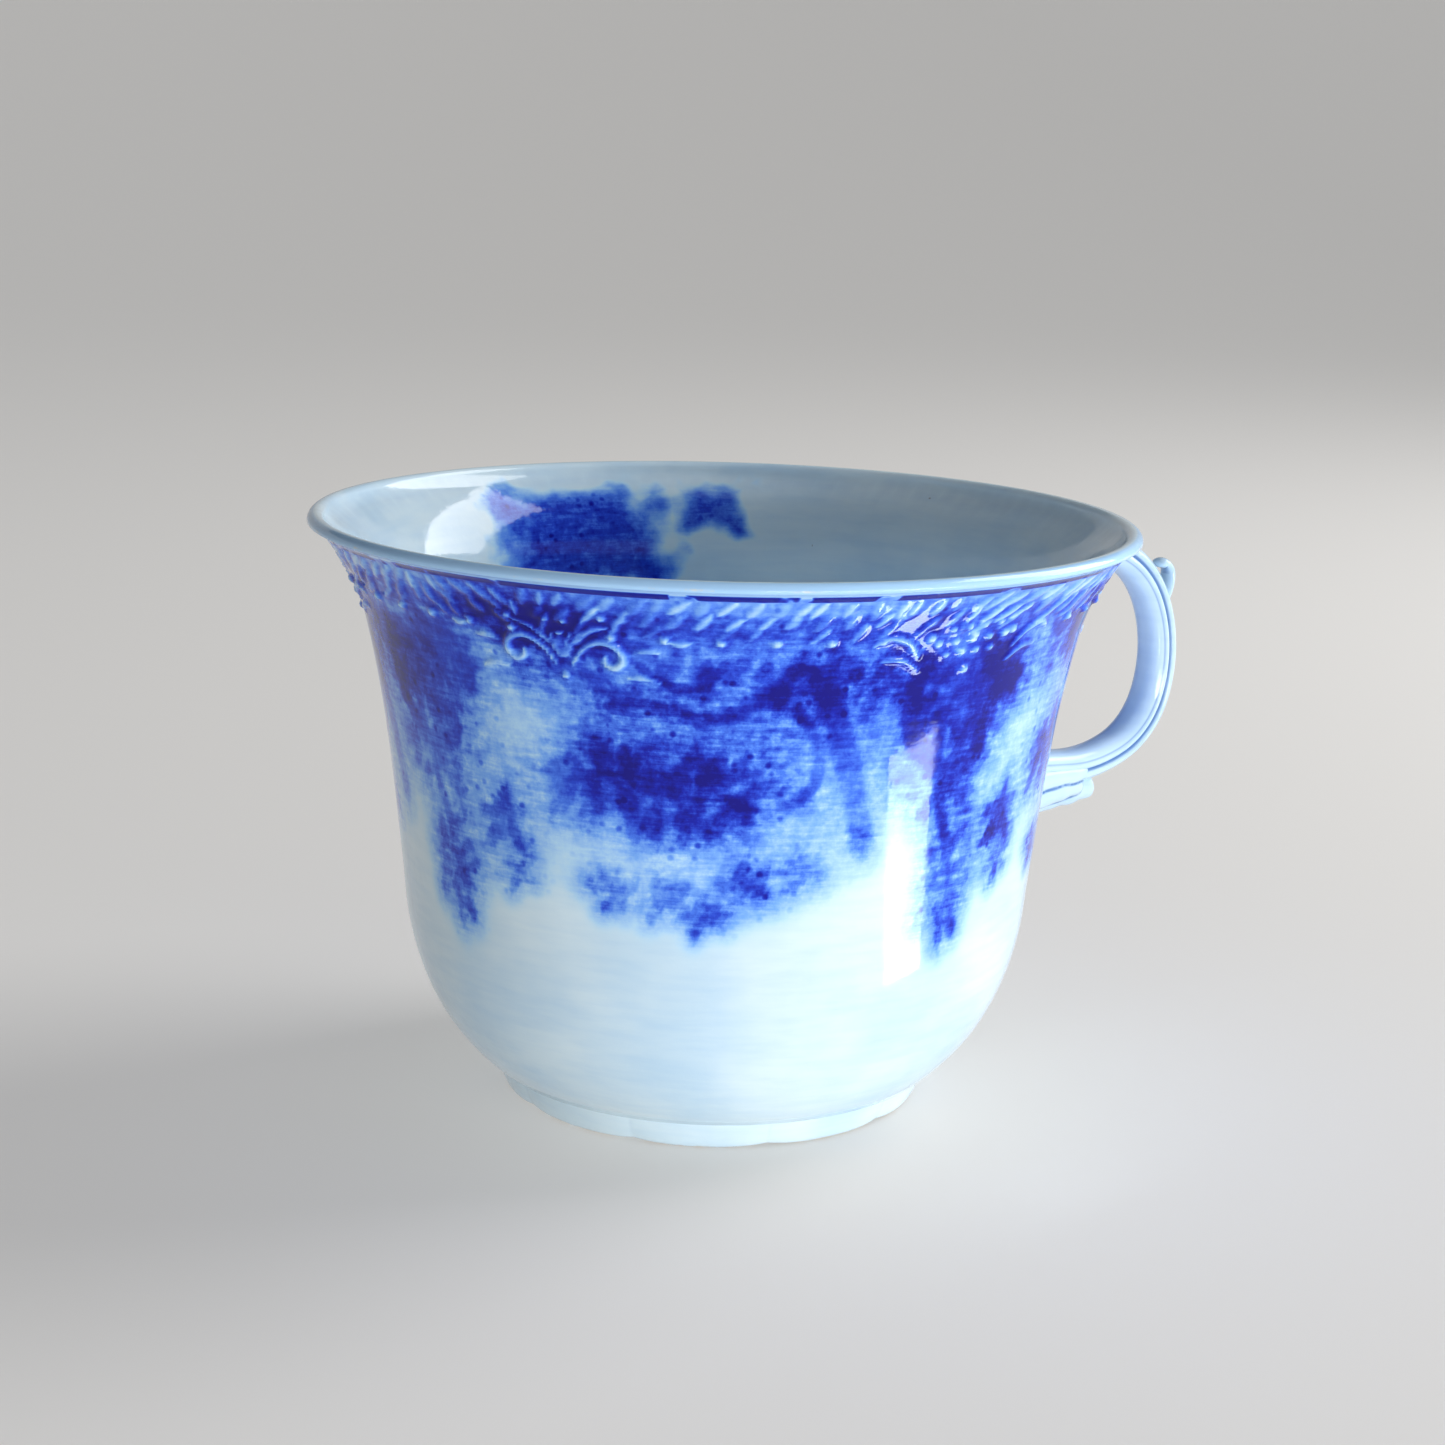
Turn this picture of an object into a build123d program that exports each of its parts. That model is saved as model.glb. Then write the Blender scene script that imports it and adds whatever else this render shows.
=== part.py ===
from build123d import *
import os

# A fired earthenware teacup, in millimetres.
# Origin: centre of the foot ring on the plane that it stands on. +Z is up, out of the mouth.
# +X points out along the handle, and the handle lies in the plane Y = 0.

# ---- driving dimensions ----
RIM_RADIUS = 44.5          # outside of the lip, at its widest
CUP_HEIGHT = 63.5          # foot to the crest of the lip
LIP_THICKNESS = 1.9        # the lip ends in a half round of this width
FLOOR_THICKNESS = 2.8      # thickness of the bowl's floor

FOOT_HEIGHT = 3.3          # underside of the bowl above the table
FOOT_TOP_RADIUS = 24.0     # outside of the foot where it meets the bowl
FOOT_REST_RADIUS = 22.3    # outside of the face that touches the table
FOOT_REST_WIDTH = 1.4      # width of that face
FOOT_INNER_RADIUS = 19.8   # inside of the foot where it meets the bowl
FOOT_ROUND = 0.5           # rounding of the foot's two lower edges

STRAP_WIDTH = 4.8          # handle strap, across the finger
STRAP_THICKNESS = 3.2      # handle strap, away from the finger
STRAP_ROUNDNESS = 0.44     # corner radius of the strap's section, in strap thicknesses
SPINE_WIDTH = 2.6          # raised bead down the back of the strap
SPINE_RISE = 0.75          # how far the bead stands behind the strap

SCROLL_WIRE = 0.62         # radius of the thumb scroll's round section
LEAF_WIDTH = 6.4           # width of the leaf under the handle's foot
LEAF_ROUND = 1.1           # rounding of the leaf's edges

# ---- outlines, as radius and height ----
# Outside of the bowl, from the foot up: a full round bottom, an almost upright wall and a bell
# mouth. Each stretch between two points is an arc that carries on smoothly from the one before.
OUTER = [
    (24.7, FOOT_HEIGHT),
    (31.0, 11.0),
    (34.0, 21.5),
    (35.8, 38.0),
    (38.4, 52.5),
    (42.4, 61.0),
]
OUTER_START = (1.0, 0.78)    # direction in which the outside leaves the foot
# Inside of the bowl, from the edge of the flat floor up to the mouth: the wall is about 2.1 thick.
INNER = [
    (15.0, FOOT_HEIGHT + FLOOR_THICKNESS),
    (28.9, 13.0),
    (31.9, 23.0),
    (33.6, 38.0),
    (36.3, 52.7),
    (40.3, 60.6),
]
INNER_START = (1.0, 0.0)

# Handle, in the plane Y = 0 as X and Z. Each line is an arc through three points, followed by
# arcs that carry on smoothly to the points after it.
STRAP_FIRST_ARC = ((36.5, 51.6), (43.2, 55.2), (50.6, 56.5))
STRAP_POINTS = [(62.0, 49.4), (62.8, 37.9), (57.3, 31.8), (49.0, 30.4)]
STRAP_TAIL = 17.0          # straight run from the last point into the wall
SCROLL_FIRST_ARC = ((63.0, 48.6), (64.5, 50.6), (65.1, 52.7))
SCROLL_POINTS = [(64.1, 53.9), (63.0, 53.2)]
LEAF_EDGE = [(33.0, 22.4), (41.0, 23.6), (47.5, 25.1), (52.0, 25.2), (54.0, 26.8), (52.0, 29.8)]


def smooth_arcs(points, direction):
    """A chain of arcs through the points, each tangent to the one before."""
    tangent = direction
    for start, end in zip(points, points[1:]):
        arc = TangentArc(start, end, tangent=tangent)
        tangent = arc % 1


def outline_face():
    """Half section of the bowl, between its outside, its round lip, its inside and its floor."""
    lip_radius = LIP_THICKNESS / 2
    lip_height = CUP_HEIGHT - lip_radius
    lip_outside = (RIM_RADIUS, lip_height)
    lip_crest = (RIM_RADIUS - lip_radius, CUP_HEIGHT)
    lip_inside = (RIM_RADIUS - LIP_THICKNESS, lip_height)
    floor_middle = (0, INNER[0][1])
    with BuildSketch(Plane.XZ) as section:
        with BuildLine():
            Line((0, FOOT_HEIGHT), OUTER[0])
            smooth_arcs(OUTER, OUTER_START)
            Line(OUTER[-1], lip_outside)
            ThreePointArc(lip_outside, lip_crest, lip_inside)
            Line(lip_inside, INNER[-1])
            smooth_arcs(INNER, INNER_START)
            Line(INNER[0], floor_middle)
            Line(floor_middle, (0, FOOT_HEIGHT))
        make_face()
    return section.sketch


def turned(section):
    """The section turned about the cup's axis, with the surface's seam away from the handle."""
    return revolve(section, Axis.Z).rotate(Axis.Z, 180)


def filled_outline():
    """The bowl's outside as one solid block, used to cut whatever is luted on to it."""
    with BuildSketch(Plane.XZ) as section:
        with BuildLine():
            Line((0, FOOT_HEIGHT), OUTER[0])
            smooth_arcs(OUTER, OUTER_START)
            Line(OUTER[-1], (0, OUTER[-1][1]))
            Line((0, OUTER[-1][1]), (0, FOOT_HEIGHT))
        make_face()
    return turned(section.sketch)


def make_foot():
    """Low foot ring, which flares up and out to meet the bowl face to face."""
    rest_inner = FOOT_REST_RADIUS - FOOT_REST_WIDTH
    with BuildSketch(Plane.XZ) as section:
        with BuildLine():
            Polyline(
                (FOOT_INNER_RADIUS, FOOT_HEIGHT),
                (FOOT_TOP_RADIUS, FOOT_HEIGHT),
                (FOOT_REST_RADIUS + FOOT_ROUND, FOOT_ROUND),
                (FOOT_REST_RADIUS, 0),
                (rest_inner, 0),
                (rest_inner - FOOT_ROUND, FOOT_ROUND),
                close=True,
            )
        make_face()
    return turned(section.sketch)


def arc_chain(first_arc, points, tail=0):
    """A wire in the handle's plane: an arc through three points, tangent arcs, a straight tail."""
    with BuildLine(Plane.XZ) as line:
        arc = ThreePointArc(*first_arc)
        start = first_arc[-1]
        for end in points:
            arc = TangentArc(start, end, tangent=arc % 1)
            start = end
        if tail:
            direction = arc % 1
            Line(start, (start[0] + tail * direction.X, start[1] + tail * direction.Z))
    return line.wires()[0]


def make_strap(block):
    """Handle loop: a rounded strap with a narrower bead down its back, cut to the wall."""
    path = arc_chain(STRAP_FIRST_ARC, STRAP_POINTS, STRAP_TAIL)
    start = Plane(origin=path @ 0, x_dir=(0, 1, 0), z_dir=path % 0)
    with BuildSketch(start) as section:
        RectangleRounded(STRAP_WIDTH, STRAP_THICKNESS, STRAP_THICKNESS * STRAP_ROUNDNESS)
        with Locations((0, -STRAP_THICKNESS / 2)):
            Ellipse(SPINE_WIDTH / 2, SPINE_RISE)
    return sweep(section.sketch, path=path) - block


def make_thumb_scroll(strap):
    """Small curl that leaves the back of the strap near its top and turns in on itself."""
    path = arc_chain(SCROLL_FIRST_ARC, SCROLL_POINTS)
    with BuildSketch(Plane(origin=path @ 0, z_dir=path % 0)) as section:
        Circle(SCROLL_WIRE)
    return sweep(section.sketch, path=path) - strap


def make_leaf(block, strap):
    """Leaf under the handle's foot: its tip stands free and its root is luted to the wall."""
    with BuildSketch(Plane.XZ) as section:
        with BuildLine():
            Spline(*LEAF_EDGE)
            Polyline(LEAF_EDGE[-1], (LEAF_EDGE[0][0], LEAF_EDGE[-1][1]), LEAF_EDGE[0])
        make_face()
    leaf = extrude(section.sketch, LEAF_WIDTH / 2, both=True)
    lower_edges = leaf.edges().filter_by(GeomType.BSPLINE)
    leaf = fillet(lower_edges, LEAF_ROUND)
    return leaf - block - strap


block = filled_outline()
handle_loop = make_strap(block)
pieces = {
    "bowl": turned(outline_face()),
    "foot_ring": make_foot(),
    "handle_loop": handle_loop,
    "thumb_scroll": make_thumb_scroll(handle_loop),
    "handle_leaf": make_leaf(block, handle_loop),
}

os.makedirs("parts", exist_ok=True)
for name, piece in pieces.items():
    export_step(piece, f"parts/{name}.step")
    print(name, piece.bounding_box(), round(piece.volume, 1))
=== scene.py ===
# %% [markdown]
# # A moulded teacup with flowing blue print
# This lesson builds the looks of one glazed teacup round a measured model. The model gives the
# size and the place of every piece, so nothing here is scaled or moved. Five pieces make the cup:
# the thrown bowl, its foot ring, the pressed handle strap, the small scroll that the thumb rests
# against, and the leaf under the handle's lower end.

# %% Load the measured model
import math
import bmesh
import bpy
import numpy as np
from mathutils import Matrix, Vector


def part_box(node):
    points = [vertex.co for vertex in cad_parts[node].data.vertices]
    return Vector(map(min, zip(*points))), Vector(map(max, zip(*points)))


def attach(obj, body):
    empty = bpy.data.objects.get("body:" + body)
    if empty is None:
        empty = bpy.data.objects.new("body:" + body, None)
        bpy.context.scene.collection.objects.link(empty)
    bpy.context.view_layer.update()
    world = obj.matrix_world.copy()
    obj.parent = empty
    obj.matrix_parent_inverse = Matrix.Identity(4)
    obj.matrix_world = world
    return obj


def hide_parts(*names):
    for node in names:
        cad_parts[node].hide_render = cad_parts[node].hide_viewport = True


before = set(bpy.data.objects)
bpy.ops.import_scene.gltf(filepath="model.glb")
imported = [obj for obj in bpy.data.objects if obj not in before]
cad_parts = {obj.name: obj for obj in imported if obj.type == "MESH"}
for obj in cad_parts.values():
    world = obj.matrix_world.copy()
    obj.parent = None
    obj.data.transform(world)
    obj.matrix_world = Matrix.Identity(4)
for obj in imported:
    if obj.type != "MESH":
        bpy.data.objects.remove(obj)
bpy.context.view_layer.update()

_, bowl_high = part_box("bowl")
_, foot_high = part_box("foot_ring")

# %% [markdown]
# A potter talks in millimetres, and Blender here works in metres. The cup is 63.5 mm high, so one
# millimetre is the measured height divided by that. Every size below is in these millimetres and
# follows the model.

# %% Sizes to work in
CUP_HEIGHT = 63.5
MM = bowl_high.z / CUP_HEIGHT
RIM_RADIUS = bowl_high.x / MM
FOOT_HEIGHT = foot_high.z / MM
LIP_RADIUS = 0.95
LIP_CENTRE = (RIM_RADIUS - LIP_RADIUS, CUP_HEIGHT - LIP_RADIUS)
UP = np.array([0.0, 0.0, 1.0])
SIDE = np.array([0.0, 1.0, 0.0])
print("rim radius", round(RIM_RADIUS, 2), "foot height", round(FOOT_HEIGHT, 2), "in mm")

# %% [markdown]
# The camera stands a little above the rim, behind and to the left of the handle, as a person looks
# at a cup on the table. It leans very slightly, like a camera held in the hand. Its place is fixed
# before anything is made, so each piece can be judged from it as it grows.

# %% Camera
CAMERA_PLACE = Vector((-160.7, -238.8, 105.25)) * MM
CAMERA_TURN = math.radians(-34.0)
CAMERA_TILT = math.radians(90.0 - 12.69)
CAMERA_LEAN = math.radians(1.65)
FILM_WIDTH = 36.0
FOCAL_LENGTH = 67.27
NEAREST_SEEN = 0.01
camera_data = bpy.data.cameras.new("camera")
camera_data.sensor_width = FILM_WIDTH
camera_data.lens = FOCAL_LENGTH
camera_data.clip_start = NEAREST_SEEN
camera = bpy.data.objects.new("camera", camera_data)
turn_round = Matrix.Rotation(CAMERA_TURN, 4, "Z")
tilt_down = Matrix.Rotation(CAMERA_TILT, 4, "X")
lean = Matrix.Rotation(CAMERA_LEAN, 4, "Z")
camera.matrix_world = Matrix.Translation(CAMERA_PLACE) @ turn_round @ tilt_down @ lean
bpy.context.scene.collection.objects.link(camera)
bpy.context.scene.camera = camera
print("camera is", round((CAMERA_PLACE.length) / MM), "mm away")

# %% [markdown]
# Clay on a wheel and clay pressed in a mould have outlines that flow without a corner. A chain of
# arcs that leave each other in the same direction gives that flow from very few points. Each arc
# bends away from its heading by the same angle on both sides of its chord, which is all the
# geometry that is needed.

# %% Helper: outlines from arcs
STRAIGHT = 1e-6


def turned(direction, angle):
    """A flat direction turned by an angle."""
    cos, sin = math.cos(angle), math.sin(angle)
    x, y = direction
    return np.array([x * cos - y * sin, x * sin + y * cos])


def arc_line(points, heading, step=0.1):
    """A smooth line of arcs through flat points, leaving the first one along heading."""
    heading = np.array(heading, float) / np.hypot(*heading)
    line = [np.array(points[0], float)]
    for start, end in zip(points, points[1:]):
        chord = np.subtract(end, start)
        length = np.hypot(*chord)
        bend = math.atan2(heading[0] * chord[1] - heading[1] * chord[0], heading @ chord)
        count = max(2, round(length / step))
        for part in np.linspace(0.0, 1.0, count + 1)[1:]:
            reach = part if abs(bend) < STRAIGHT else math.sin(part * bend) / math.sin(bend)
            line.append(start + length * reach * turned(heading, part * bend))
        heading = turned(heading, 2.0 * bend)
    return np.array(line)


def spaced(line, spacing):
    """The same line with points as far apart as spacing gives for each point of it."""
    gaps = np.hypot(*np.diff(line, axis=0).T)
    density = 1.0 / np.array([spacing(point) for point in (line[:-1] + line[1:]) / 2])
    steps = np.concatenate([[0.0], np.cumsum(gaps * density)])
    wanted = np.linspace(0.0, steps[-1], max(2, round(steps[-1])) + 1)
    return np.column_stack([np.interp(wanted, steps, line[:, axis]) for axis in (0, 1)])


# %% [markdown]
# The bowl's wall rises steeply from a rounded bottom, runs almost straight, and opens into a
# flared lip with a half-round edge. The outside and the inside each have their own line of arcs,
# because the wall thins from the foot to the rim. Radius comes first and height second. Rows of
# points lie closest where the moulded border is, and wide apart on the plain floor.

# %% The bowl's section
FLOOR_HEIGHT = 6.1
OUTSIDE = [(24.7, FOOT_HEIGHT), (31.0, 11.0), (34.0, 21.5), (35.8, 38.0), (38.4, 52.5), (42.4, 61.0),
           (RIM_RADIUS, LIP_CENTRE[1])]
INSIDE = [(15.0, FLOOR_HEIGHT), (28.9, 13.0), (31.9, 23.0), (33.6, 38.0), (36.3, 52.7), (40.3, 60.6),
          (RIM_RADIUS - 2 * LIP_RADIUS, LIP_CENTRE[1])]
OUTSIDE_HEADING = (1.0, 0.78)
INSIDE_HEADING = (1.0, 0.0)
UNDERSIDE_RADII = (0.0, 9.0, 18.0, 21.5)
FLOOR_RADII = (7.5, 0.0)
LIP_STEPS = 8
BORDER_LOW = 52.0
PRINT_LOW = 22.0
OUTSIDE_ROWS = [(FOOT_HEIGHT, 1.7), (PRINT_LOW - 4, 1.5), (PRINT_LOW, 0.66), (BORDER_LOW - 1, 0.6),
                (BORDER_LOW + 1, 0.3), (CUP_HEIGHT, 0.3)]
INSIDE_ROWS = [(6.0, 2.6), (30.0, 3.0), (CUP_HEIGHT, 1.5)]


def outside_spacing(point):
    """Row spacing on the outside at this point's height, from pairs of height and spacing."""
    return float(np.interp(point[1], *zip(*OUTSIDE_ROWS)))


def inside_spacing(point):
    """Row spacing on the inside, finer near the lip."""
    return float(np.interp(point[1], *zip(*INSIDE_ROWS)))


outside_line = spaced(arc_line(OUTSIDE, OUTSIDE_HEADING), outside_spacing)
inside_line = spaced(arc_line(INSIDE, INSIDE_HEADING), inside_spacing)
lip_angles = np.linspace(0.0, math.pi, LIP_STEPS + 1)[1:-1]
lip_line = np.column_stack([LIP_CENTRE[0] + LIP_RADIUS * np.cos(lip_angles),
                            LIP_CENTRE[1] + LIP_RADIUS * np.sin(lip_angles)])
underside_line = [(radius, FOOT_HEIGHT) for radius in UNDERSIDE_RADII]
floor_line = [(radius, FLOOR_HEIGHT) for radius in FLOOR_RADII]
bowl_line = np.vstack([underside_line, outside_line, lip_line, inside_line[::-1], floor_line])
bowl_inside = np.zeros(len(bowl_line))
bowl_inside[len(underside_line) + len(outside_line) + len(lip_line) // 2:] = 1.0
print("the bowl's section has", len(bowl_line), "points")


def wall_radius(height):
    """The outside wall's radius at a height, in mm."""
    return np.interp(height, outside_line[:, 1], outside_line[:, 0])


# %% [markdown]
# Every piece of this cup follows one rule: a section carried from station to station. For thrown
# clay the stations are directions round the wheel's axis, and for the strap they are places along
# its path. Geometry Nodes can do both with one tree. A station holds its place and two directions,
# named across and up, which say where the section's own x and z point and how large it is there.
# The tree lays a grid, looks up each point's station and section point by index, and welds the
# seams and the pinched ends.

# %% Helpers: build node trees in script
def place(tree, kind, feeds=None, **settings):
    """Adds a node, sets it up, and feeds its sockets with plain values or other nodes' outputs."""
    node = tree.nodes.new(kind)
    for name, value in settings.items():
        setattr(node, name, value)
    for key, value in (feeds or {}).items():
        if isinstance(value, bpy.types.NodeSocket):
            tree.links.new(value, node.inputs[key])
        else:
            node.inputs[key].default_value = value
    return node


def sums(tree, operation, *values):
    """The result of one Math node."""
    return place(tree, "ShaderNodeMath", dict(enumerate(values)), operation=operation).outputs[0]


def vectors(tree, operation, *values):
    """The result of one Vector Math node."""
    return place(tree, "ShaderNodeVectorMath", dict(enumerate(values)), operation=operation).outputs[0]


def stretched(tree, vector, factor):
    """A vector scaled by a factor."""
    return place(tree, "ShaderNodeVectorMath", {0: vector, "Scale": factor}, operation="SCALE").outputs[0]


def new_tree(name, kind, inputs, outputs):
    """A node tree with named inputs and outputs, and its two end nodes."""
    tree = bpy.data.node_groups.new(name, kind)
    for label, socket in inputs:
        tree.interface.new_socket(label, in_out="INPUT", socket_type=socket)
    for label, socket in outputs:
        tree.interface.new_socket(label, in_out="OUTPUT", socket_type=socket)
    return tree, tree.nodes.new("NodeGroupInput").outputs, tree.nodes.new("NodeGroupOutput").inputs


# %% The loft tree
def read_line(tree, line, attribute, kind, index):
    """Looks up an attribute of a line's point by its index."""
    value = place(tree, "GeometryNodeInputNamedAttribute", {"Name": attribute}, data_type=kind)
    sample = place(tree, "GeometryNodeSampleIndex", {"Geometry": line, "Index": index},
                   data_type=kind, domain="POINT")
    tree.links.new(value.outputs["Attribute"], sample.inputs["Value"])
    return sample.outputs["Value"]


loft, given, result = new_tree(
    "Loft a section over stations", "GeometryNodeTree",
    [("Geometry", "NodeSocketGeometry"), ("Stations", "NodeSocketObject"), ("Section", "NodeSocketObject"),
     ("Weld distance", "NodeSocketFloat"), ("Glaze", "NodeSocketMaterial")],
    [("Geometry", "NodeSocketGeometry")])
stations = place(loft, "GeometryNodeObjectInfo", {"Object": given["Stations"]}).outputs["Geometry"]
section = place(loft, "GeometryNodeObjectInfo", {"Object": given["Section"]}).outputs["Geometry"]
station_count = place(loft, "GeometryNodeAttributeDomainSize", {"Geometry": stations}).outputs["Point Count"]
row_count = place(loft, "GeometryNodeAttributeDomainSize", {"Geometry": section}).outputs["Point Count"]
grid = place(loft, "GeometryNodeMeshGrid", {"Vertices X": station_count, "Vertices Y": row_count})
index = place(loft, "GeometryNodeInputIndex").outputs[0]
HALF_STEP = 0.5
station = sums(loft, "FLOOR", sums(loft, "DIVIDE", sums(loft, "ADD", index, HALF_STEP), row_count))
row = sums(loft, "SUBTRACT", index, sums(loft, "MULTIPLY", station, row_count))
middle = read_line(loft, stations, "place", "FLOAT_VECTOR", station)
across = read_line(loft, stations, "across", "FLOAT_VECTOR", station)
up = read_line(loft, stations, "up", "FLOAT_VECTOR", station)
section_x = read_line(loft, section, "x", "FLOAT", row)
section_z = read_line(loft, section, "z", "FLOAT", row)
offset = vectors(loft, "ADD", stretched(loft, across, section_x), stretched(loft, up, section_z))
moved = place(loft, "GeometryNodeSetPosition",
              {"Geometry": grid.outputs["Mesh"], "Position": vectors(loft, "ADD", middle, offset)})
marked = place(loft, "GeometryNodeStoreNamedAttribute",
               {"Geometry": moved.outputs[0], "Name": "inside"}, data_type="FLOAT", domain="POINT")
loft.links.new(read_line(loft, section, "inside", "FLOAT", row), marked.inputs["Value"])
welded = place(loft, "GeometryNodeMergeByDistance",
               {"Geometry": marked.outputs[0], "Distance": given["Weld distance"]})
smooth = place(loft, "GeometryNodeSetShadeSmooth", {"Geometry": welded.outputs[0]})
real = place(loft, "GeometryNodeRealizeInstances", {"Geometry": smooth.outputs[0]})
glazed = place(loft, "GeometryNodeSetMaterial", {"Geometry": real.outputs[0], "Material": given["Glaze"]})
loft.links.new(glazed.outputs[0], result["Geometry"])
print("loft tree has", len(loft.nodes), "nodes")

# %% [markdown]
# A tree reads its stations and its section from small helper objects: bare lines whose points
# carry attributes. They are removed once the piece is a plain mesh, so they never show.

# %% Helpers: lines that carry attributes, and turning a tree into a mesh
helpers = []


def line_object(name, places, chains=None, **attributes):
    """A helper object of bare points, joined in chains, with named values or directions on them."""
    mesh = bpy.data.meshes.new(name)
    edges = [(k, k + 1) for first, last in (chains or []) for k in range(first, last)]
    mesh.from_pydata([tuple(point) for point in places], edges, [])
    for label, values in attributes.items():
        values = np.asarray(values, float)
        flat = values.ndim == 1
        attribute = mesh.attributes.new(label, "FLOAT" if flat else "FLOAT_VECTOR", "POINT")
        attribute.data.foreach_set("value" if flat else "vector", values.ravel())
    helper = bpy.data.objects.new(name, mesh)
    bpy.context.scene.collection.objects.link(helper)
    helpers.append(helper)
    return helper


def section_object(name, line, inside=None):
    """A section given in mm, whose first number lies along across and second along up."""
    line = np.asarray(line, float)
    inside = np.zeros(len(line)) if inside is None else inside
    return line_object(name, np.zeros((len(line), 3)), x=line[:, 0], z=line[:, 1], inside=inside)


def station_object(name, places, across, up):
    """Stations given in mm, with the two directions that the section follows."""
    places = np.asarray(places, float) * MM
    return line_object(name, places, place=places, across=np.asarray(across) * MM, up=np.asarray(up) * MM)


def grow(name, steps):
    """Runs Geometry Nodes steps on an empty object and returns the result as a plain mesh piece."""
    carrier = bpy.data.objects.new(name + "_carrier", bpy.data.meshes.new(name))
    bpy.context.scene.collection.objects.link(carrier)
    for tree, settings in steps:
        modifier = carrier.modifiers.new(tree.name, "NODES")
        modifier.node_group = tree
        sockets = {item.name: item.identifier for item in tree.interface.items_tree
                   if item.item_type == "SOCKET" and item.in_out == "INPUT"}
        for label, value in settings.items():
            modifier[sockets[label]] = value
    view_layer = bpy.context.evaluated_depsgraph_get()
    mesh = bpy.data.meshes.new_from_object(carrier.evaluated_get(view_layer), depsgraph=view_layer)
    bpy.data.objects.remove(carrier)
    mesh.name = name
    piece = bpy.data.objects.new(name, mesh)
    bpy.context.scene.collection.objects.link(piece)
    mesh.calc_loop_triangles()
    print(name, "has", len(mesh.loop_triangles), "triangles")
    return piece


WELD = 0.004 * MM
printed_glaze = bpy.data.materials.new("blue_printed_glaze")
plain_glaze = bpy.data.materials.new("plain_glaze")


def lofted(stations, section, glaze):
    """One loft step with its inputs."""
    return loft, {"Stations": stations, "Section": section, "Weld distance": WELD, "Glaze": glaze}


def wheel_stations(name, count):
    """Stations round the wheel's axis, the last one on the first."""
    angles = np.linspace(0.0, 2.0 * math.pi, count + 1)
    outward = np.column_stack([np.cos(angles), np.sin(angles), np.zeros_like(angles)])
    return station_object(name, np.zeros_like(outward), outward, np.tile(UP, (count + 1, 1)))


# %% [markdown]
# Under the lip runs a moulded border: slanting leaf strokes close under the rim, a row of beads,
# and larger groups of scrolls and rays, three of one kind and three of another. On a real cup the
# mould holds these as hollows, so they stand up from the clay as soft ridges. Each ridge is drawn
# as a line on the wall with a half width and a rise. One group is drawn once, copied round the
# axis, and pushed out of the wall by distance, so the ridges melt into the clay as glaze does.

# %% Lines of the moulded border
def wall_place(run, height):
    """A place on the outside wall, from mm run round it and mm height, at angle nought."""
    radius = wall_radius(height)
    angle = run / radius
    return radius * math.cos(angle) * MM, radius * math.sin(angle) * MM, height * MM


JUST_UNDER = 1e-9


def flowing(points, count):
    """A smooth curve through a few points, a Catmull-Rom spline."""
    points = np.array([points[0], *points, points[-1]], float)
    curve = []
    for k in np.linspace(0.0, len(points) - 3 - JUST_UNDER, count):
        first, part = int(k), k - int(k)
        a, b, c, d = points[first:first + 4]
        curve.append(0.5 * (2 * b + (c - a) * part + (2 * a - 5 * b + 4 * c - d) * part**2
                            + (3 * b - a - 3 * c + d) * part**3))
    return np.array(curve)


BEAD_HALF_LENGTH = 0.05
BEAD_RISE = 0.7


class Border:
    """Collects ridges as chains of points on the wall, with a half width and a rise at each."""

    def __init__(self):
        self.points, self.chains, self.half_width, self.rise, self.bare = [], [], [], [], []

    def ridge(self, points, half_width, rise, count=14, ends=0.45, bare=0.8):
        """A ridge along a curve, slimmer and lower towards its ends, which sheds a share of its ink."""
        curve = flowing(points, count)
        first = len(self.points)
        for part, (run, height) in zip(np.linspace(0.0, 1.0, count), curve):
            fullness = ends + (1.0 - ends) * math.sin(math.pi * part)
            self.points.append(wall_place(run, height))
            self.half_width.append(half_width * fullness * MM)
            self.rise.append(rise * fullness * MM)
            self.bare.append(bare)
        self.chains.append((first, len(self.points) - 1))

    def bead(self, run, height, size):
        """A round bead: a ridge with almost no length."""
        points = [(run - BEAD_HALF_LENGTH, height), (run + BEAD_HALF_LENGTH, height)]
        self.ridge(points, size, size * BEAD_RISE, count=2, ends=1.0, bare=1.0)

    def helper(self, name):
        """The helper object that the relief tree reads."""
        return line_object(name, self.points, self.chains, half_width=self.half_width,
                           rise=self.rise, bare=self.bare)


# %% The scroll group
# Each ridge: points from the middle outwards, half width, rise, and how finely it is drawn.
GROUPS = 6
GROUPS_OF_A_KIND = GROUPS // 2
SCROLL_LINES = [([(0.9, 53.9), (2.2, 55.6), (4.0, 56.5), (5.6, 56.0), (6.1, 54.8), (5.2, 53.9),
                  (4.2, 54.3), (4.3, 55.0)], 0.58, 0.55, {"count": 34, "bare": 0.9}),
                ([(1.6, 56.1), (3.0, 57.5), (4.9, 58.0)], 0.5, 0.36, {}),
                ([(7.3, 55.6), (8.6, 55.9), (9.8, 55.7)], 0.5, 0.4, {}),
                ([(6.4, 52.9), (8.0, 53.0), (9.4, 52.6)], 0.45, 0.32, {}),
                ([(10.9, 56.9), (11.8, 56.7), (12.7, 56.9)], 0.5, 0.36, {})]
RAYS = 5
RAY_POINTS = [(0.35, 54.6), (1.1, 56.0), (2.3, 57.2)]
RAY_HALF_WIDTH = 0.4
RAY_RISE = 0.34
SCROLL_BEADS = [(0.6, 58.5, 0.66), (-1.2, 58.5, 0.58), (4.6, 59.0, 0.6), (-5.4, 58.4, 0.58), (0.0, 52.6, 0.5)]


def both_sides(border, lines):
    """Adds each ridge on the right and again mirrored to the left."""
    for points, half_width, rise, extra in lines:
        for side in (1, -1):
            border.ridge([(side * run, height) for run, height in points], half_width, rise, **extra)


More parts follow.
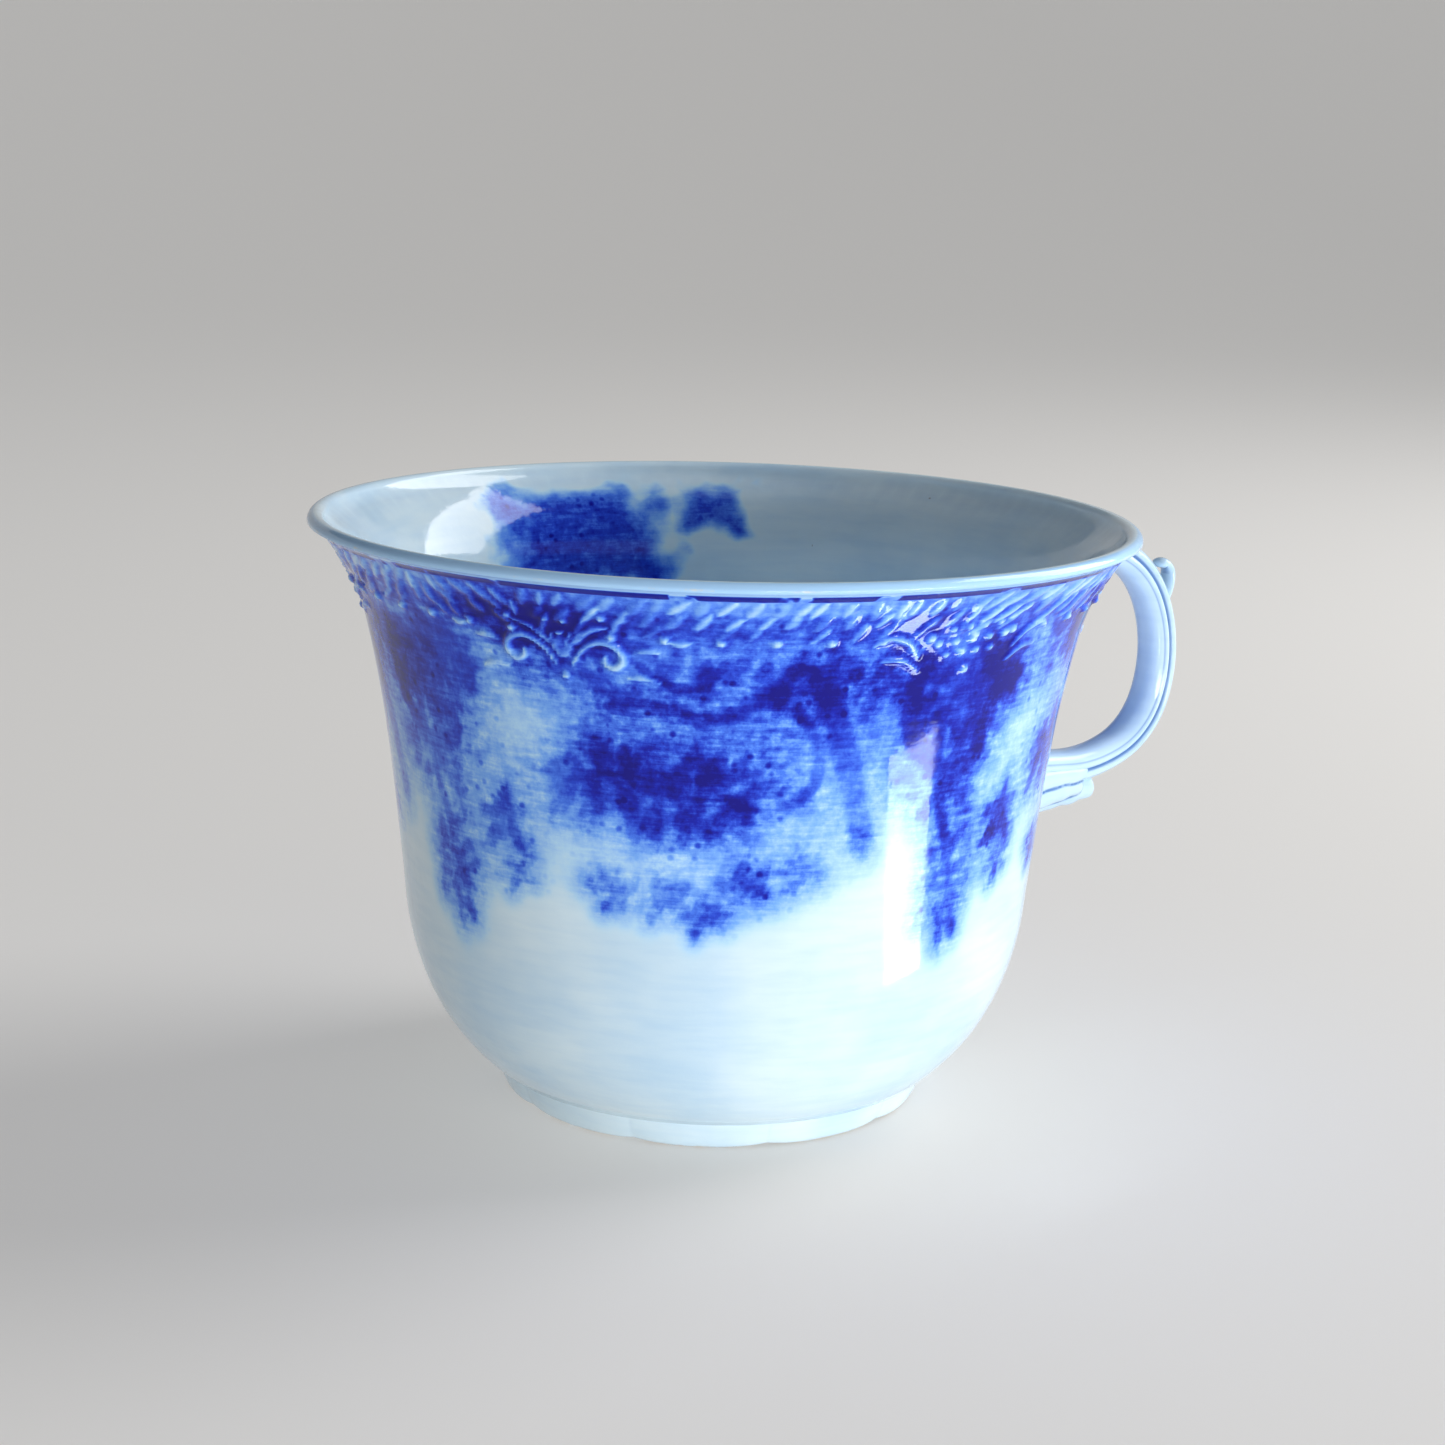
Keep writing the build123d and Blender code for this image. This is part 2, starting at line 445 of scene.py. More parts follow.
scroll_group = Border()
both_sides(scroll_group, SCROLL_LINES)
for lean_out in np.linspace(-1.0, 1.0, RAYS):
    scroll_group.ridge([(run * lean_out, height) for run, height in RAY_POINTS], RAY_HALF_WIDTH, RAY_RISE)
for run, height, size in SCROLL_BEADS:
    scroll_group.bead(run, height, size)
print("scroll group:", len(scroll_group.chains), "ridges and beads")

# %% The bead group
BEAD_ROWS = [(58.0, 0.5, (-3.0, -1.0, 1.0, 3.0)), (56.6, 0.6, (-4.2, -2.1, 0.0, 2.1, 4.2)),
             (55.3, 0.5, (-2.8, -0.9, 0.9, 2.8)), (53.4, 0.6, (0.0,))]
BEAD_ROW_SLOPE = 0.05
BEAD_LEAVES = [([(6.0, 55.0), (7.6, 56.7), (9.8, 57.4), (11.2, 56.6)], 0.5, 0.4, {"count": 18}),
               ([(5.6, 53.6), (7.6, 54.9), (9.9, 55.0)], 0.42, 0.34, {})]
CHAIN_HEIGHT = 57.1
CHAIN_SIZE = 0.66
bead_group = Border()
for row_height, size, runs in BEAD_ROWS:
    for run in runs:
        bead_group.bead(run, row_height + BEAD_ROW_SLOPE * run, size)
both_sides(bead_group, BEAD_LEAVES)
chain_bead = Border()
chain_bead.bead(0.0, CHAIN_HEIGHT, CHAIN_SIZE)
print("bead group:", len(bead_group.chains), "ridges and beads")

# %% [markdown]
# The leaf strokes close under the rim stand in three rows. A mould cutter works them by eye, so
# each has its own length, lean and depth. They lean one way, and swing over to the other beside
# the scroll group. Pairs of numbers are the least and the most that a stroke may have.

# %% The leaf strokes
FAN_SEED = 3
FAN_ROWS = [(60.5, 38, 0.70), (59.2, 32, 0.66), (58.0, 20, 0.58)]
FAN_HEIGHT = 60.0
FAN_WIDTH = 2.0 * math.pi * wall_radius(FAN_HEIGHT) / GROUPS_OF_A_KIND
STROKE_LEAN = 0.8
SWING = 1.7
SWING_PLACE = -10.0
SWING_REACH = 7.5
STROKE_PLACES = (0.2, 0.8)
STROKE_LEANS = (-0.3, 0.3)
STROKE_LENGTHS = (0.5, 0.85)
STROKE_SHIFTS = (-0.25, 0.25)
STROKE_WIDTHS = (0.85, 1.2)
STROKE_RISES = (0.14, 0.28)
STROKE_BARE = (0.35, 0.9)
leaf_fan = Border()
dice = np.random.default_rng(FAN_SEED)
for row_height, row_leaves, row_width in FAN_ROWS:
    for step in range(row_leaves):
        run = (step + dice.uniform(*STROKE_PLACES)) / row_leaves * FAN_WIDTH - FAN_WIDTH / 2
        swing = SWING * math.exp(-((run - SWING_PLACE) / SWING_REACH)**2)
        slant = STROKE_LEAN - swing + dice.uniform(*STROKE_LEANS)
        tall = dice.uniform(*STROKE_LENGTHS)
        middle_height = row_height + dice.uniform(*STROKE_SHIFTS)
        points = [(run - slant, middle_height - tall), (run, middle_height),
                  (run + slant, middle_height + tall)]
        stroke_width = row_width * dice.uniform(*STROKE_WIDTHS)
        stroke_rise = dice.uniform(*STROKE_RISES)
        leaf_fan.ridge(points, stroke_width, stroke_rise, count=8, ends=0.62, bare=dice.uniform(*STROKE_BARE))
print("leaf strokes:", len(leaf_fan.chains))

# %% [markdown]
# Two trees raise the border. The first copies one group round the axis. The second joins all the
# copies, measures how far each point of the wall is from the nearest ridge, and pushes it out
# there. It also leaves two values at every point for the glaze: lift, which is how far up a ridge
# the point lies, and pool, which is how near it lies to one.

# %% The relief tree
EDGE_SOFTNESS = 1.35
RING = [("Object", "NodeSocketObject"), ("Count", "NodeSocketInt"), ("First angle", "NodeSocketFloat")]
ring_tree, given, result = new_tree("Copies round the axis", "GeometryNodeTree", RING,
                                    [("Geometry", "NodeSocketGeometry")])
spots = place(ring_tree, "GeometryNodeMeshLine", {"Count": given["Count"], "Offset": (0.0, 0.0, 0.0)})
index = place(ring_tree, "GeometryNodeInputIndex").outputs[0]
share = sums(ring_tree, "DIVIDE", sums(ring_tree, "MULTIPLY", index, 2.0 * math.pi), given["Count"])
spin = place(ring_tree, "ShaderNodeCombineXYZ", {"Z": sums(ring_tree, "ADD", share, given["First angle"])})
motif = place(ring_tree, "GeometryNodeObjectInfo", {"Object": given["Object"]})
copies = place(ring_tree, "GeometryNodeInstanceOnPoints",
               {"Points": spots.outputs["Mesh"], "Instance": motif.outputs["Geometry"],
                "Rotation": spin.outputs[0]})
real = place(ring_tree, "GeometryNodeRealizeInstances", {"Geometry": copies.outputs[0]})
ring_tree.links.new(real.outputs[0], result["Geometry"])

relief, given, result = new_tree(
    "Raise the moulded border", "GeometryNodeTree",
    [("Geometry", "NodeSocketGeometry"), ("Scroll group", "NodeSocketObject"),
     ("Bead group", "NodeSocketObject"), ("Leaf fan", "NodeSocketObject"),
     ("Chain bead", "NodeSocketObject"), ("Groups of each kind", "NodeSocketInt"),
     ("Chain beads", "NodeSocketInt"),
     ("First group angle", "NodeSocketFloat"), ("Pool width", "NodeSocketFloat")],
    [("Geometry", "NodeSocketGeometry")])
half_turn = sums(relief, "DIVIDE", math.pi, given["Groups of each kind"])
second_angle = sums(relief, "ADD", given["First group angle"], half_turn)
rings = [("Scroll group", given["Groups of each kind"], given["First group angle"]),
         ("Bead group", given["Groups of each kind"], second_angle),
         ("Leaf fan", given["Groups of each kind"], given["First group angle"]),
         ("Chain bead", given["Chain beads"], given["First group angle"])]
lines = place(relief, "GeometryNodeJoinGeometry")
for label, count, angle in rings:
    ring = place(relief, "GeometryNodeGroup", node_tree=ring_tree)
    for socket, value in (("Object", given[label]), ("Count", count), ("First angle", angle)):
        relief.links.new(value, ring.inputs[socket])
    relief.links.new(ring.outputs[0], lines.inputs[0])
near = place(relief, "GeometryNodeProximity", {0: lines.outputs[0]}, target_element="EDGES")
distance = near.outputs["Distance"]
nearest = place(relief, "GeometryNodeSampleNearest", {"Geometry": lines.outputs[0]}).outputs["Index"]
half_width = read_line(relief, lines.outputs[0], "half_width", "FLOAT", nearest)
rise = read_line(relief, lines.outputs[0], "rise", "FLOAT", nearest)
share = sums(relief, "DIVIDE", distance, half_width)
bulge = sums(relief, "MAXIMUM", sums(relief, "SUBTRACT", 1.0, sums(relief, "POWER", share, 2.0)), 0.0)
lift = sums(relief, "POWER", bulge, EDGE_SOFTNESS)
bare = read_line(relief, lines.outputs[0], "bare", "FLOAT", nearest)
beyond = sums(relief, "MAXIMUM", sums(relief, "SUBTRACT", distance, half_width), 0.0)
pool_share = sums(relief, "DIVIDE", beyond, given["Pool width"])
pool = sums(relief, "MAXIMUM", sums(relief, "SUBTRACT", 1.0, pool_share), 0.0)
wall = given["Geometry"]
for label, value in (("lift", sums(relief, "MULTIPLY", lift, bare)), ("pool", pool)):
    store = place(relief, "GeometryNodeStoreNamedAttribute", {"Geometry": wall, "Name": label},
                  data_type="FLOAT", domain="POINT")
    relief.links.new(value, store.inputs["Value"])
    wall = store.outputs[0]
normal = place(relief, "GeometryNodeInputNormal").outputs[0]
pushed = place(relief, "GeometryNodeSetPosition",
               {"Geometry": wall, "Offset": stretched(relief, normal, sums(relief, "MULTIPLY", lift, rise))})
relief.links.new(pushed.outputs[0], result["Geometry"])

# %% Make the bowl
BOWL_COLUMNS = 660
FIRST_SCROLL = math.radians(-146.5)
BEADS_PER_GROUP = 8
POOL_WIDTH = 1.2
border_step = (relief, {
    "Scroll group": scroll_group.helper("scroll_group"), "Bead group": bead_group.helper("bead_group"),
    "Leaf fan": leaf_fan.helper("leaf_fan"), "Chain bead": chain_bead.helper("chain_bead"),
    "Groups of each kind": GROUPS_OF_A_KIND, "Chain beads": BEADS_PER_GROUP * GROUPS,
    "First group angle": FIRST_SCROLL, "Pool width": POOL_WIDTH * MM})
bowl_section = section_object("bowl_section", bowl_line, bowl_inside)
bowl = grow("cup_bowl", [lofted(wheel_stations("bowl_wheel", BOWL_COLUMNS), bowl_section, printed_glaze),
                         border_step])

# %% [markdown]
# The blue was printed from an engraved plate, one repeat to each quarter of the bowl, and it ran in
# the kiln until the leaves blurred into the glaze. Each repeat has a swag under the border, a
# leafy spray below it, small sprigs that fade out, and a tall column of scroll leaves between one
# panel and the next. Here the plate is drawn by formula, leaf by leaf, straight onto the bowl's own
# points. Two values are kept at each point: ink, which is the drawn leaf, and haze, which is the
# blue that ran out of it.

# %% Helper: the printing plate
REPEATS = 4
PANEL_ANGLE = -129.0
PLATE_RADIUS = 38.0
RUN_PER_DEGREE = math.radians(PLATE_RADIUS)
TILE = 360.0 / REPEATS * RUN_PER_DEGREE
LEAF_EDGE = (0.55, 1.25)
LEAF_POINT = 1.4
LEAF_SLIMNESS = 0.46
HAZE_FALL = 1.6
HAZE_SHAPE = 1.2
WASH_SHAPE = 1.5
GOLDEN_TURN = 2.399963
DARKEST_LEAF = 0.97
# The least and the most that a sprayed leaf may differ by.
LEAF_TURNS = (-0.3, 0.3)
LEAF_OUTS = (0.85, 1.08)
LEAF_SIZES = (0.7, 1.3)
LEAF_LEANS = (-0.7, 0.7)
LEAF_DEPTHS = (0.55, 1.1)
FIRST_OUT = 0.6
# A stem is laid as short leaves, so many to each point that it is drawn through.
STEM_LEAVES = 10
STEM_LEAF_LENGTH = 1.2
STEM_LEAF_STRENGTH = 0.5
PLATE_SEED = 7


def smoothstep(low, high, value):
    """A soft step from nought at low to one at high."""
    part = np.clip((value - low) / (high - low), 0.0, 1.0)
    return part * part * (3.0 - 2.0 * part)


class Plate:
    """Ink and haze on points given by their angle round the cup, in degrees, and height in mm."""

    def __init__(self, angle, height):
        self.angle = angle
        self.run = (angle - PANEL_ANGLE) * RUN_PER_DEGREE
        self.height = height
        self.ink = np.zeros(len(angle))
        self.haze = np.zeros(len(angle))
        self.dice = np.random.default_rng(PLATE_SEED)

    def over(self, run):
        """How far each point lies along the wall from the nearest repeat of a place."""
        return (self.run - run + TILE / 2) % TILE - TILE / 2

    def leaf(self, run, height, length, width, lean, strength, spread=2.4):
        """One pointed leaf, half length by half width, and the blue that ran from it."""
        over = self.over(run)
        rise = self.height - height
        along = over * math.cos(lean) + rise * math.sin(lean)
        aside = np.abs(rise * math.cos(lean) - over * math.sin(lean))
        mark = 1.0 - smoothstep(*LEAF_EDGE, (aside / width)**LEAF_POINT + (along / length)**2)
        self.ink = 1.0 - (1.0 - self.ink) * (1.0 - strength * mark)
        far = (aside / (width + spread))**2 + (along / (length + spread))**2
        self.haze = np.maximum(self.haze, strength * np.exp(-HAZE_FALL * far**HAZE_SHAPE))

    def spray(self, run, height, half_run, half_height, leaves, size, strength, spread=2.4):
        """Leaves scattered over an oval, each pointing away from its middle."""
        for k in range(leaves):
            turn = GOLDEN_TURN * k + self.dice.uniform(*LEAF_TURNS)
            out = math.sqrt((k + FIRST_OUT) / leaves) * self.dice.uniform(*LEAF_OUTS)
            leaf_run = run + half_run * out * math.cos(turn)
            leaf_height = height + half_height * out * math.sin(turn)
            length = size * self.dice.uniform(*LEAF_SIZES)
            lean_out = turn + self.dice.uniform(*LEAF_LEANS)
            depth = strength * self.dice.uniform(*LEAF_DEPTHS)
            depth = min(depth, DARKEST_LEAF)
            self.leaf(leaf_run, leaf_height, length, length * LEAF_SLIMNESS, lean_out, depth, spread)

    def wash(self, run, height, half_run, half_height, strength):
        """A broad patch of blue that ran, with no leaf left in it."""
        far = (self.over(run) / half_run)**2 + ((self.height - height) / half_height)**2
        self.haze = 1.0 - (1.0 - self.haze) * (1.0 - strength * np.exp(-far**WASH_SHAPE))

    def stem(self, points, width, strength, spread=1.6):
        """A scroll or a stalk, laid as short overlapping leaves along a curve."""
        curve = flowing(points, STEM_LEAVES * len(points))
        for before, after in zip(curve, curve[1:]):
            step = after - before
            middle_run, middle_height = (before + after) / 2
            length = max(1.0, width * STEM_LEAF_LENGTH)
            lean = math.atan2(step[1], step[0])
            self.leaf(middle_run, middle_height, length, width, lean, strength * STEM_LEAF_STRENGTH, spread)


# %% [markdown]
# One repeat of the plate is now set out as an engraver would lay it out, in mm from the middle of
# a panel and mm above the table. Sprays are ovals of leaves, stems are scrolls and stalks, spots
# are single dark leaves, and washes are the broad patches where the blue ran most.

# %% One repeat of the plate
# Each spray: run, height, half run, half height, leaves, leaf size, strength, and how far it ran.
CENTRE_SPRAYS = [(-2.6, 41.2, 12.0, 4.6, 60, 1.7, 0.55), (-7.0, 42.6, 6.5, 3.2, 18, 1.9, 0.6)]
BORDER_SPRAYS = [(-3.4, 53.4, 13.5, 3.2, 34, 1.5, 0.4, 3.2), (-11.6, 56.2, 7.0, 1.6, 22, 1.6, 0.7, 2.0),
                 (17.0, 53.0, 6.0, 3.0, 16, 1.6, 0.5, 3.0), (-20.5, 36.2, 2.8, 2.6, 13, 1.5, 0.8, 1.6)]
SPRIG_SHAPE = (2.4, 2.0, 9, 1.3)
SPRIG_RAN = 1.6
SPRIG_PLACES = [(-8.0, 31.0, 0.5), (-2.7, 30.5, 0.65), (2.0, 28.8, 0.45), (6.4, 32.0, 0.6),
                (12.4, 33.6, 0.5), (-19.5, 31.5, 0.35)]
SPRIGS = [(run, height, *SPRIG_SHAPE, strength, SPRIG_RAN) for run, height, strength in SPRIG_PLACES]
COLUMN_SPRAYS = [(29.0, 51.5, 7.5, 5.0, 40, 2.1, 0.62, 3.0), (31.5, 53.0, 4.5, 3.0, 22, 2.6, 0.97),
                 (28.6, 42.5, 6.0, 5.0, 26, 1.8, 0.45, 3.0), (30.6, 30.0, 3.6, 6.0, 26, 1.6, 0.45, 2.2)]
# Each stem: points, half width, strength, and how far it ran.
STEMS = [([(-11.3, 53.8), (-5.3, 50.8), (1.7, 49.2), (6.2, 50.4), (10.6, 54.4)], 0.9, 0.55),
         ([(-4.6, 54.6), (-2.0, 52.6), (1.6, 52.4), (3.6, 54.6)], 0.55, 0.5),
         ([(13.0, 53.0), (15.0, 48.0), (16.8, 43.5), (19.2, 35.5)], 1.5, 0.6, 2.0),
         ([(10.5, 50.5), (13.4, 46.0), (12.8, 42.0), (10.0, 40.0)], 0.8, 0.5),
         ([(23.5, 55.0), (22.6, 50.0), (24.5, 45.5), (28.5, 42.5), (32.5, 44.0), (32.0, 47.0),
           (29.5, 46.6)], 1.2, 0.8),
         ([(28.0, 41.0), (29.5, 36.0), (31.5, 30.0), (33.0, 25.0)], 0.8, 0.45)]
# Each spot: run, height and size.
SPOTS = [(-8.6, 45.2, 1.5), (-3.3, 38.2, 1.5), (2.0, 43.6, 1.3), (9.0, 51.6, 1.3), (11.8, 53.9, 1.1),
         (-6.6, 50.0, 1.1), (2.0, 53.6, 0.9), (-12.6, 41.0, 1.1), (6.4, 40.0, 1.1)]
SPOT_LENGTH = 1.25
SPOT_WIDTH = 0.8
SPOT_TURN = 0.5
SPOT_STRENGTH = 0.85
# Each wash: run, height, half run, half height and strength.
WASHES = [(-11.6, 56.6, 8.5, 3.2, 0.8), (-1.0, 54.0, 20.0, 6.0, 0.66), (14.0, 50.0, 12.0, 9.0, 0.52),
          (29.8, 51.0, 10.0, 9.5, 0.62), (-2.6, 41.4, 14.5, 6.4, 0.72), (30.6, 33.0, 5.5, 9.5, 0.46),
          (1.0, 31.5, 15.0, 4.4, 0.34), (15.0, 41.0, 8.0, 9.0, 0.42), (-20.5, 36.0, 5.0, 7.0, 0.4),
          (0.0, 46.0, 26.0, 9.0, 0.3)]

places = np.empty(len(bowl.data.vertices) * 3)
bowl.data.vertices.foreach_get("co", places)
places = places.reshape(-1, 3) / MM
plate = Plate(np.degrees(np.arctan2(places[:, 1], places[:, 0])), places[:, 2])
for spray in CENTRE_SPRAYS + BORDER_SPRAYS + SPRIGS + COLUMN_SPRAYS:
    plate.spray(*spray)
for stem in STEMS:
    plate.stem(*stem)
for run, height, size in SPOTS:
    plate.leaf(run, height, size * SPOT_LENGTH, size * SPOT_WIDTH, SPOT_TURN * run, SPOT_STRENGTH)
for wash in WASHES:
    plate.wash(*wash)
print("the plate's ink reaches", round(float(plate.ink.max()), 2))

# %% [markdown]
# The border is inked darker than the panels, and darkest round each scroll group. Print stops short
# of the lip, and none of it lies on the inside. The three values are stored on the bowl's points.

# %% Ink the bowl
PRINT_TOP = (60.0, 56.6)
BORDER_SHADES = [(54.4, 0.0), (56.6, 0.60), (57.6, 0.88), (59.2, 0.86), (60.2, 0.56), (61.3, 0.48),
                 (61.8, 0.56), (62.1, 0.0)]
PLAIN_SHARE = 0.8
SCROLL_SHARE = 0.5
SCROLL_REACH = 13.0
SCROLL_TURN = 360.0 / GROUPS_OF_A_KIND
print_share = smoothstep(*PRINT_TOP, places[:, 2])
from_scroll = plate.angle - math.degrees(FIRST_SCROLL)
from_scroll = (from_scroll + SCROLL_TURN / 2) % SCROLL_TURN - SCROLL_TURN / 2
near_scroll = np.exp(-(from_scroll / SCROLL_REACH)**2)
border_shade = np.interp(places[:, 2], *zip(*BORDER_SHADES)) * (PLAIN_SHARE + SCROLL_SHARE * near_scroll)
inside_flag = np.empty(len(places))
bowl.data.attributes["inside"].data.foreach_get("value", inside_flag)
for name, values in [("ink", plate.ink * print_share), ("haze", plate.haze * print_share),
                     ("border", border_shade)]:
    mark = bowl.data.attributes.new(name, "FLOAT", "POINT")
    mark.data.foreach_set("value", np.where(inside_flag > 0.5, 0.0, values))
    print(name, "mean on the outside:", round(float(values[inside_flag < 0.5].mean()), 3))

# %% [markdown]
# The foot ring is thrown with the bowl and left plain. Its lower edge has ten shallow lobes, as
# the mould gives it, and that is a rule as well: the stations pull the section in a little and
# lift its lower edge a little where two lobes meet.

# %% Foot ring
LOBES = 10
FOOT_STATIONS = 480
FOOT_POINTS = 40
NOTCH_INWARD = 0.004
NOTCH_UPWARD = 0.09
FOOT_SECTION = [(24.0, 0.0), (23.75, -0.9), (23.45, -1.9), (23.1, -2.75), (22.75, -3.15), (22.2, -3.28),
                (21.6, -3.22), (21.2, -2.9), (20.75, -2.1), (20.3, -1.2), (19.95, -0.5), (19.8, 0.0)]
foot_outline = np.vstack([flowing(FOOT_SECTION, FOOT_POINTS), FOOT_SECTION[:1]])
foot_angles = np.linspace(0.0, 2.0 * math.pi, FOOT_STATIONS + 1)
notch = (1.0 - np.abs(np.sin(LOBES / 2 * foot_angles)))**2
outward = np.column_stack([np.cos(foot_angles), np.sin(foot_angles), np.zeros_like(foot_angles)])
foot_stations = station_object("foot_wheel", np.tile(UP * FOOT_HEIGHT, (FOOT_STATIONS + 1, 1)),
                               outward * (1.0 - NOTCH_INWARD * notch)[:, None],
                               UP * (1.0 - NOTCH_UPWARD * notch)[:, None])
foot = grow("scalloped_foot", [lofted(foot_stations, section_object("foot_section", foot_outline[::-1]),
                                      plain_glaze)])

# %% [markdown]
# The handle is a pressed strap. Its section is a rounded oblong, flatter on the finger's side, with
# a raised band along its back that a narrow groove sets off on each side. The strap is luted to the
# wall at both ends, so it spreads there and its end lies along the wall instead of square to the
# path. Stations follow the path and say how wide and how thick the strap is at each place.

# %% Handle strap
STRAP_WIDTH = 4.8
STRAP_BACK = 2.3
STRAP_FRONT = 1.6
STRAP_SQUARENESS = 0.82
STRAP_PATH = [(36.5, 51.6), (43.2, 55.2), (50.6, 56.5), (62.0, 49.4), (62.8, 37.9), (57.3, 31.8),
              (49.0, 30.4)]
STRAP_HEADING = (0.794, 0.608)
STRAP_SPACING = 0.45
TAIL_POINTS = 60
TOP_ROOT = 37.3
LOW_ROOT = 34.0
# Rolls along the strap, as rise, place in degrees from the back's middle, and half width in degrees.
STRAP_ROLLS = [(0.14, 66.0, 9.0), (0.13, 98.0, 7.0), (-0.46, 84.0, 5.5), (-0.22, 0.0, 22.0)]


def strap_section(count=144):
    """The strap's closed section: back along x, width along z, with the band and its two grooves."""
    angles = np.linspace(0.0, 2.0 * math.pi, count + 1)
    cos, sin = np.cos(angles), np.sin(angles)
    back = (STRAP_BACK + STRAP_FRONT) / 2
    x = (STRAP_BACK - STRAP_FRONT) / 2 + back * np.sign(cos) * np.abs(cos)**STRAP_SQUARENESS
    z = STRAP_WIDTH / 2 * np.sign(sin) * np.abs(sin)**STRAP_SQUARENESS
    degrees = np.degrees(np.arccos(np.clip(cos, -1.0, 1.0)))
    depth = sum(rise * np.exp(-((degrees - centre) / reach)**2) for rise, centre, reach in STRAP_ROLLS)
    return np.column_stack([x + depth * cos, z + depth * sin])


def ribbon_stations(name, path, thick, wide, roots=None):
    """Stations along a flat path in the handle's plane, pinched shut at both ends."""
    ahead = np.gradient(path, axis=0)
    ahead /= np.hypot(*ahead.T)[:, None]
    back = np.column_stack([-ahead[:, 1], np.zeros(len(path)), ahead[:, 0]])
    for along_wall, share in roots or []:
        back = back * (1.0 - share)[:, None] + np.outer(share, along_wall)
    back /= np.linalg.norm(back, axis=1)[:, None]
    places = np.column_stack([path[:, 0], np.zeros(len(path)), path[:, 1]])
    places = np.vstack([places[:1], places, places[-1:]])
    across = np.vstack([np.zeros(3), back * thick[:, None], np.zeros(3)])
    up = np.vstack([np.zeros(3), SIDE * wide[:, None], np.zeros(3)])
    return station_object(name, places, across, up)


# How the strap spreads and swells near each root, and the wall's direction there.
TOP_SPREAD = 0.34
TOP_SPREAD_REACH = 2.0
LOW_SPREAD = 0.30
LOW_SPREAD_REACH = 5.0
SPREAD_FALL = 1.5
TOP_SWELL = 0.06
TOP_SWELL_REACH = (16.0, 8.0)
LOW_SWELL = 0.10
LOW_SWELL_REACH = (26.0, 8.0)
LOW_WIDENING = 0.06
LOW_WIDENING_REACH = (22.0, 8.0)
ROOT_REACH = 4.0
TOP_WALL = np.array([0.30, 0.0, 0.95])
LOW_WALL = np.array([-0.10, 0.0, -0.99])
strap_line = arc_line(STRAP_PATH, STRAP_HEADING)
tail = strap_line[-1] - strap_line[-2]
tail_end = strap_line[-1] + tail * (LOW_ROOT - strap_line[-1][0]) / tail[0]
tail_line = np.linspace(strap_line[-1], tail_end, TAIL_POINTS)[1:]
strap_line = np.vstack([strap_line[strap_line[:, 0] > TOP_ROOT], tail_line])
strap_line = spaced(strap_line, lambda point: STRAP_SPACING)
from_top = np.concatenate([[0.0], np.cumsum(np.hypot(*np.diff(strap_line, axis=0).T))])
from_low = from_top[-1] - from_top
top_spread = TOP_SPREAD * np.exp(-(from_top / TOP_SPREAD_REACH)**SPREAD_FALL)
low_spread = LOW_SPREAD * np.exp(-(from_low / LOW_SPREAD_REACH)**SPREAD_FALL)
spread = 1.0 + top_spread + low_spread
low_swell = LOW_SWELL * smoothstep(*LOW_SWELL_REACH, from_low)
top_swell = TOP_SWELL * smoothstep(*TOP_SWELL_REACH, from_top)
thick = spread * (1.0 + low_swell + top_swell)
wide = spread * (1.0 + LOW_WIDENING * smoothstep(*LOW_WIDENING_REACH, from_low))
roots = [(TOP_WALL, smoothstep(ROOT_REACH, 0.0, from_top)), (LOW_WALL, smoothstep(ROOT_REACH, 0.0, from_low))]
strap_stations = ribbon_stations("strap_path", strap_line, thick, wide, roots)
strap = grow("handle_strap", [lofted(strap_stations, section_object("strap_section", strap_section()),
                                     plain_glaze)])

# %% [markdown]
# Where the thumb rests, a strand leaves the strap's back, stands away from it and curls over, with
# a small dark eye under the curl. It is the same kind of loft with an oval section that tapers and
# ends in a little bud.

# %% Thumb scroll
CURL_PATH = [(63.0, 46.6), (64.2, 49.9), (64.95, 52.4), (64.1, 53.75), (63.15, 53.3)]
CURL_HEADING = (0.16, 1.0)
CURL_SPACING = 0.12
OVAL_SIDES = 32
BUD_PLACE = 0.93
BUD_REACH = 0.07
CURL_TIP = 0.045
# At the root, lost by the tip, and gained at the bud, all as half sizes in mm.
CURL_THICK = (0.66, 0.14, 0.14)
CURL_WIDE = (1.75, 0.85, 0.2)
oval_angles = np.linspace(0.0, 2.0 * math.pi, OVAL_SIDES + 1)
oval = np.column_stack([np.cos(oval_angles), np.sin(oval_angles)])
curl_line = spaced(arc_line(CURL_PATH, CURL_HEADING), lambda point: CURL_SPACING)
curl_part = np.linspace(0.0, 1.0, len(curl_line))
bud = np.exp(-((curl_part - BUD_PLACE) / BUD_REACH)**2)
closing = np.sqrt(np.clip((1.0 - curl_part) / CURL_TIP, 0.0, 1.0))
curl_thick, curl_wide = [(root - lost * curl_part + gained * bud) * closing
                         for root, lost, gained in (CURL_THICK, CURL_WIDE)]
curl_stations = ribbon_stations("curl_path", curl_line, curl_thick, curl_wide)
curl = grow("thumb_curl", [lofted(curl_stations, section_object("curl_section", oval), plain_glaze)])

# %% [markdown]
# Under the handle's lower end the mould adds a leaf: strands that fan from the wall and run
# together under the strap, with a wavy tip that curls away from it. Each strand is a tapered loft.
# A voxel remesh then melts them into one skin, and a little smoothing rounds the creases, as glaze
# does when it settles.

# %% Handle leaf
STRAND_STATIONS = 90
WAVE_LENGTH = 3.0
WAVE_START = (0.5, 0.8)
ROUND_TIP = 0.5
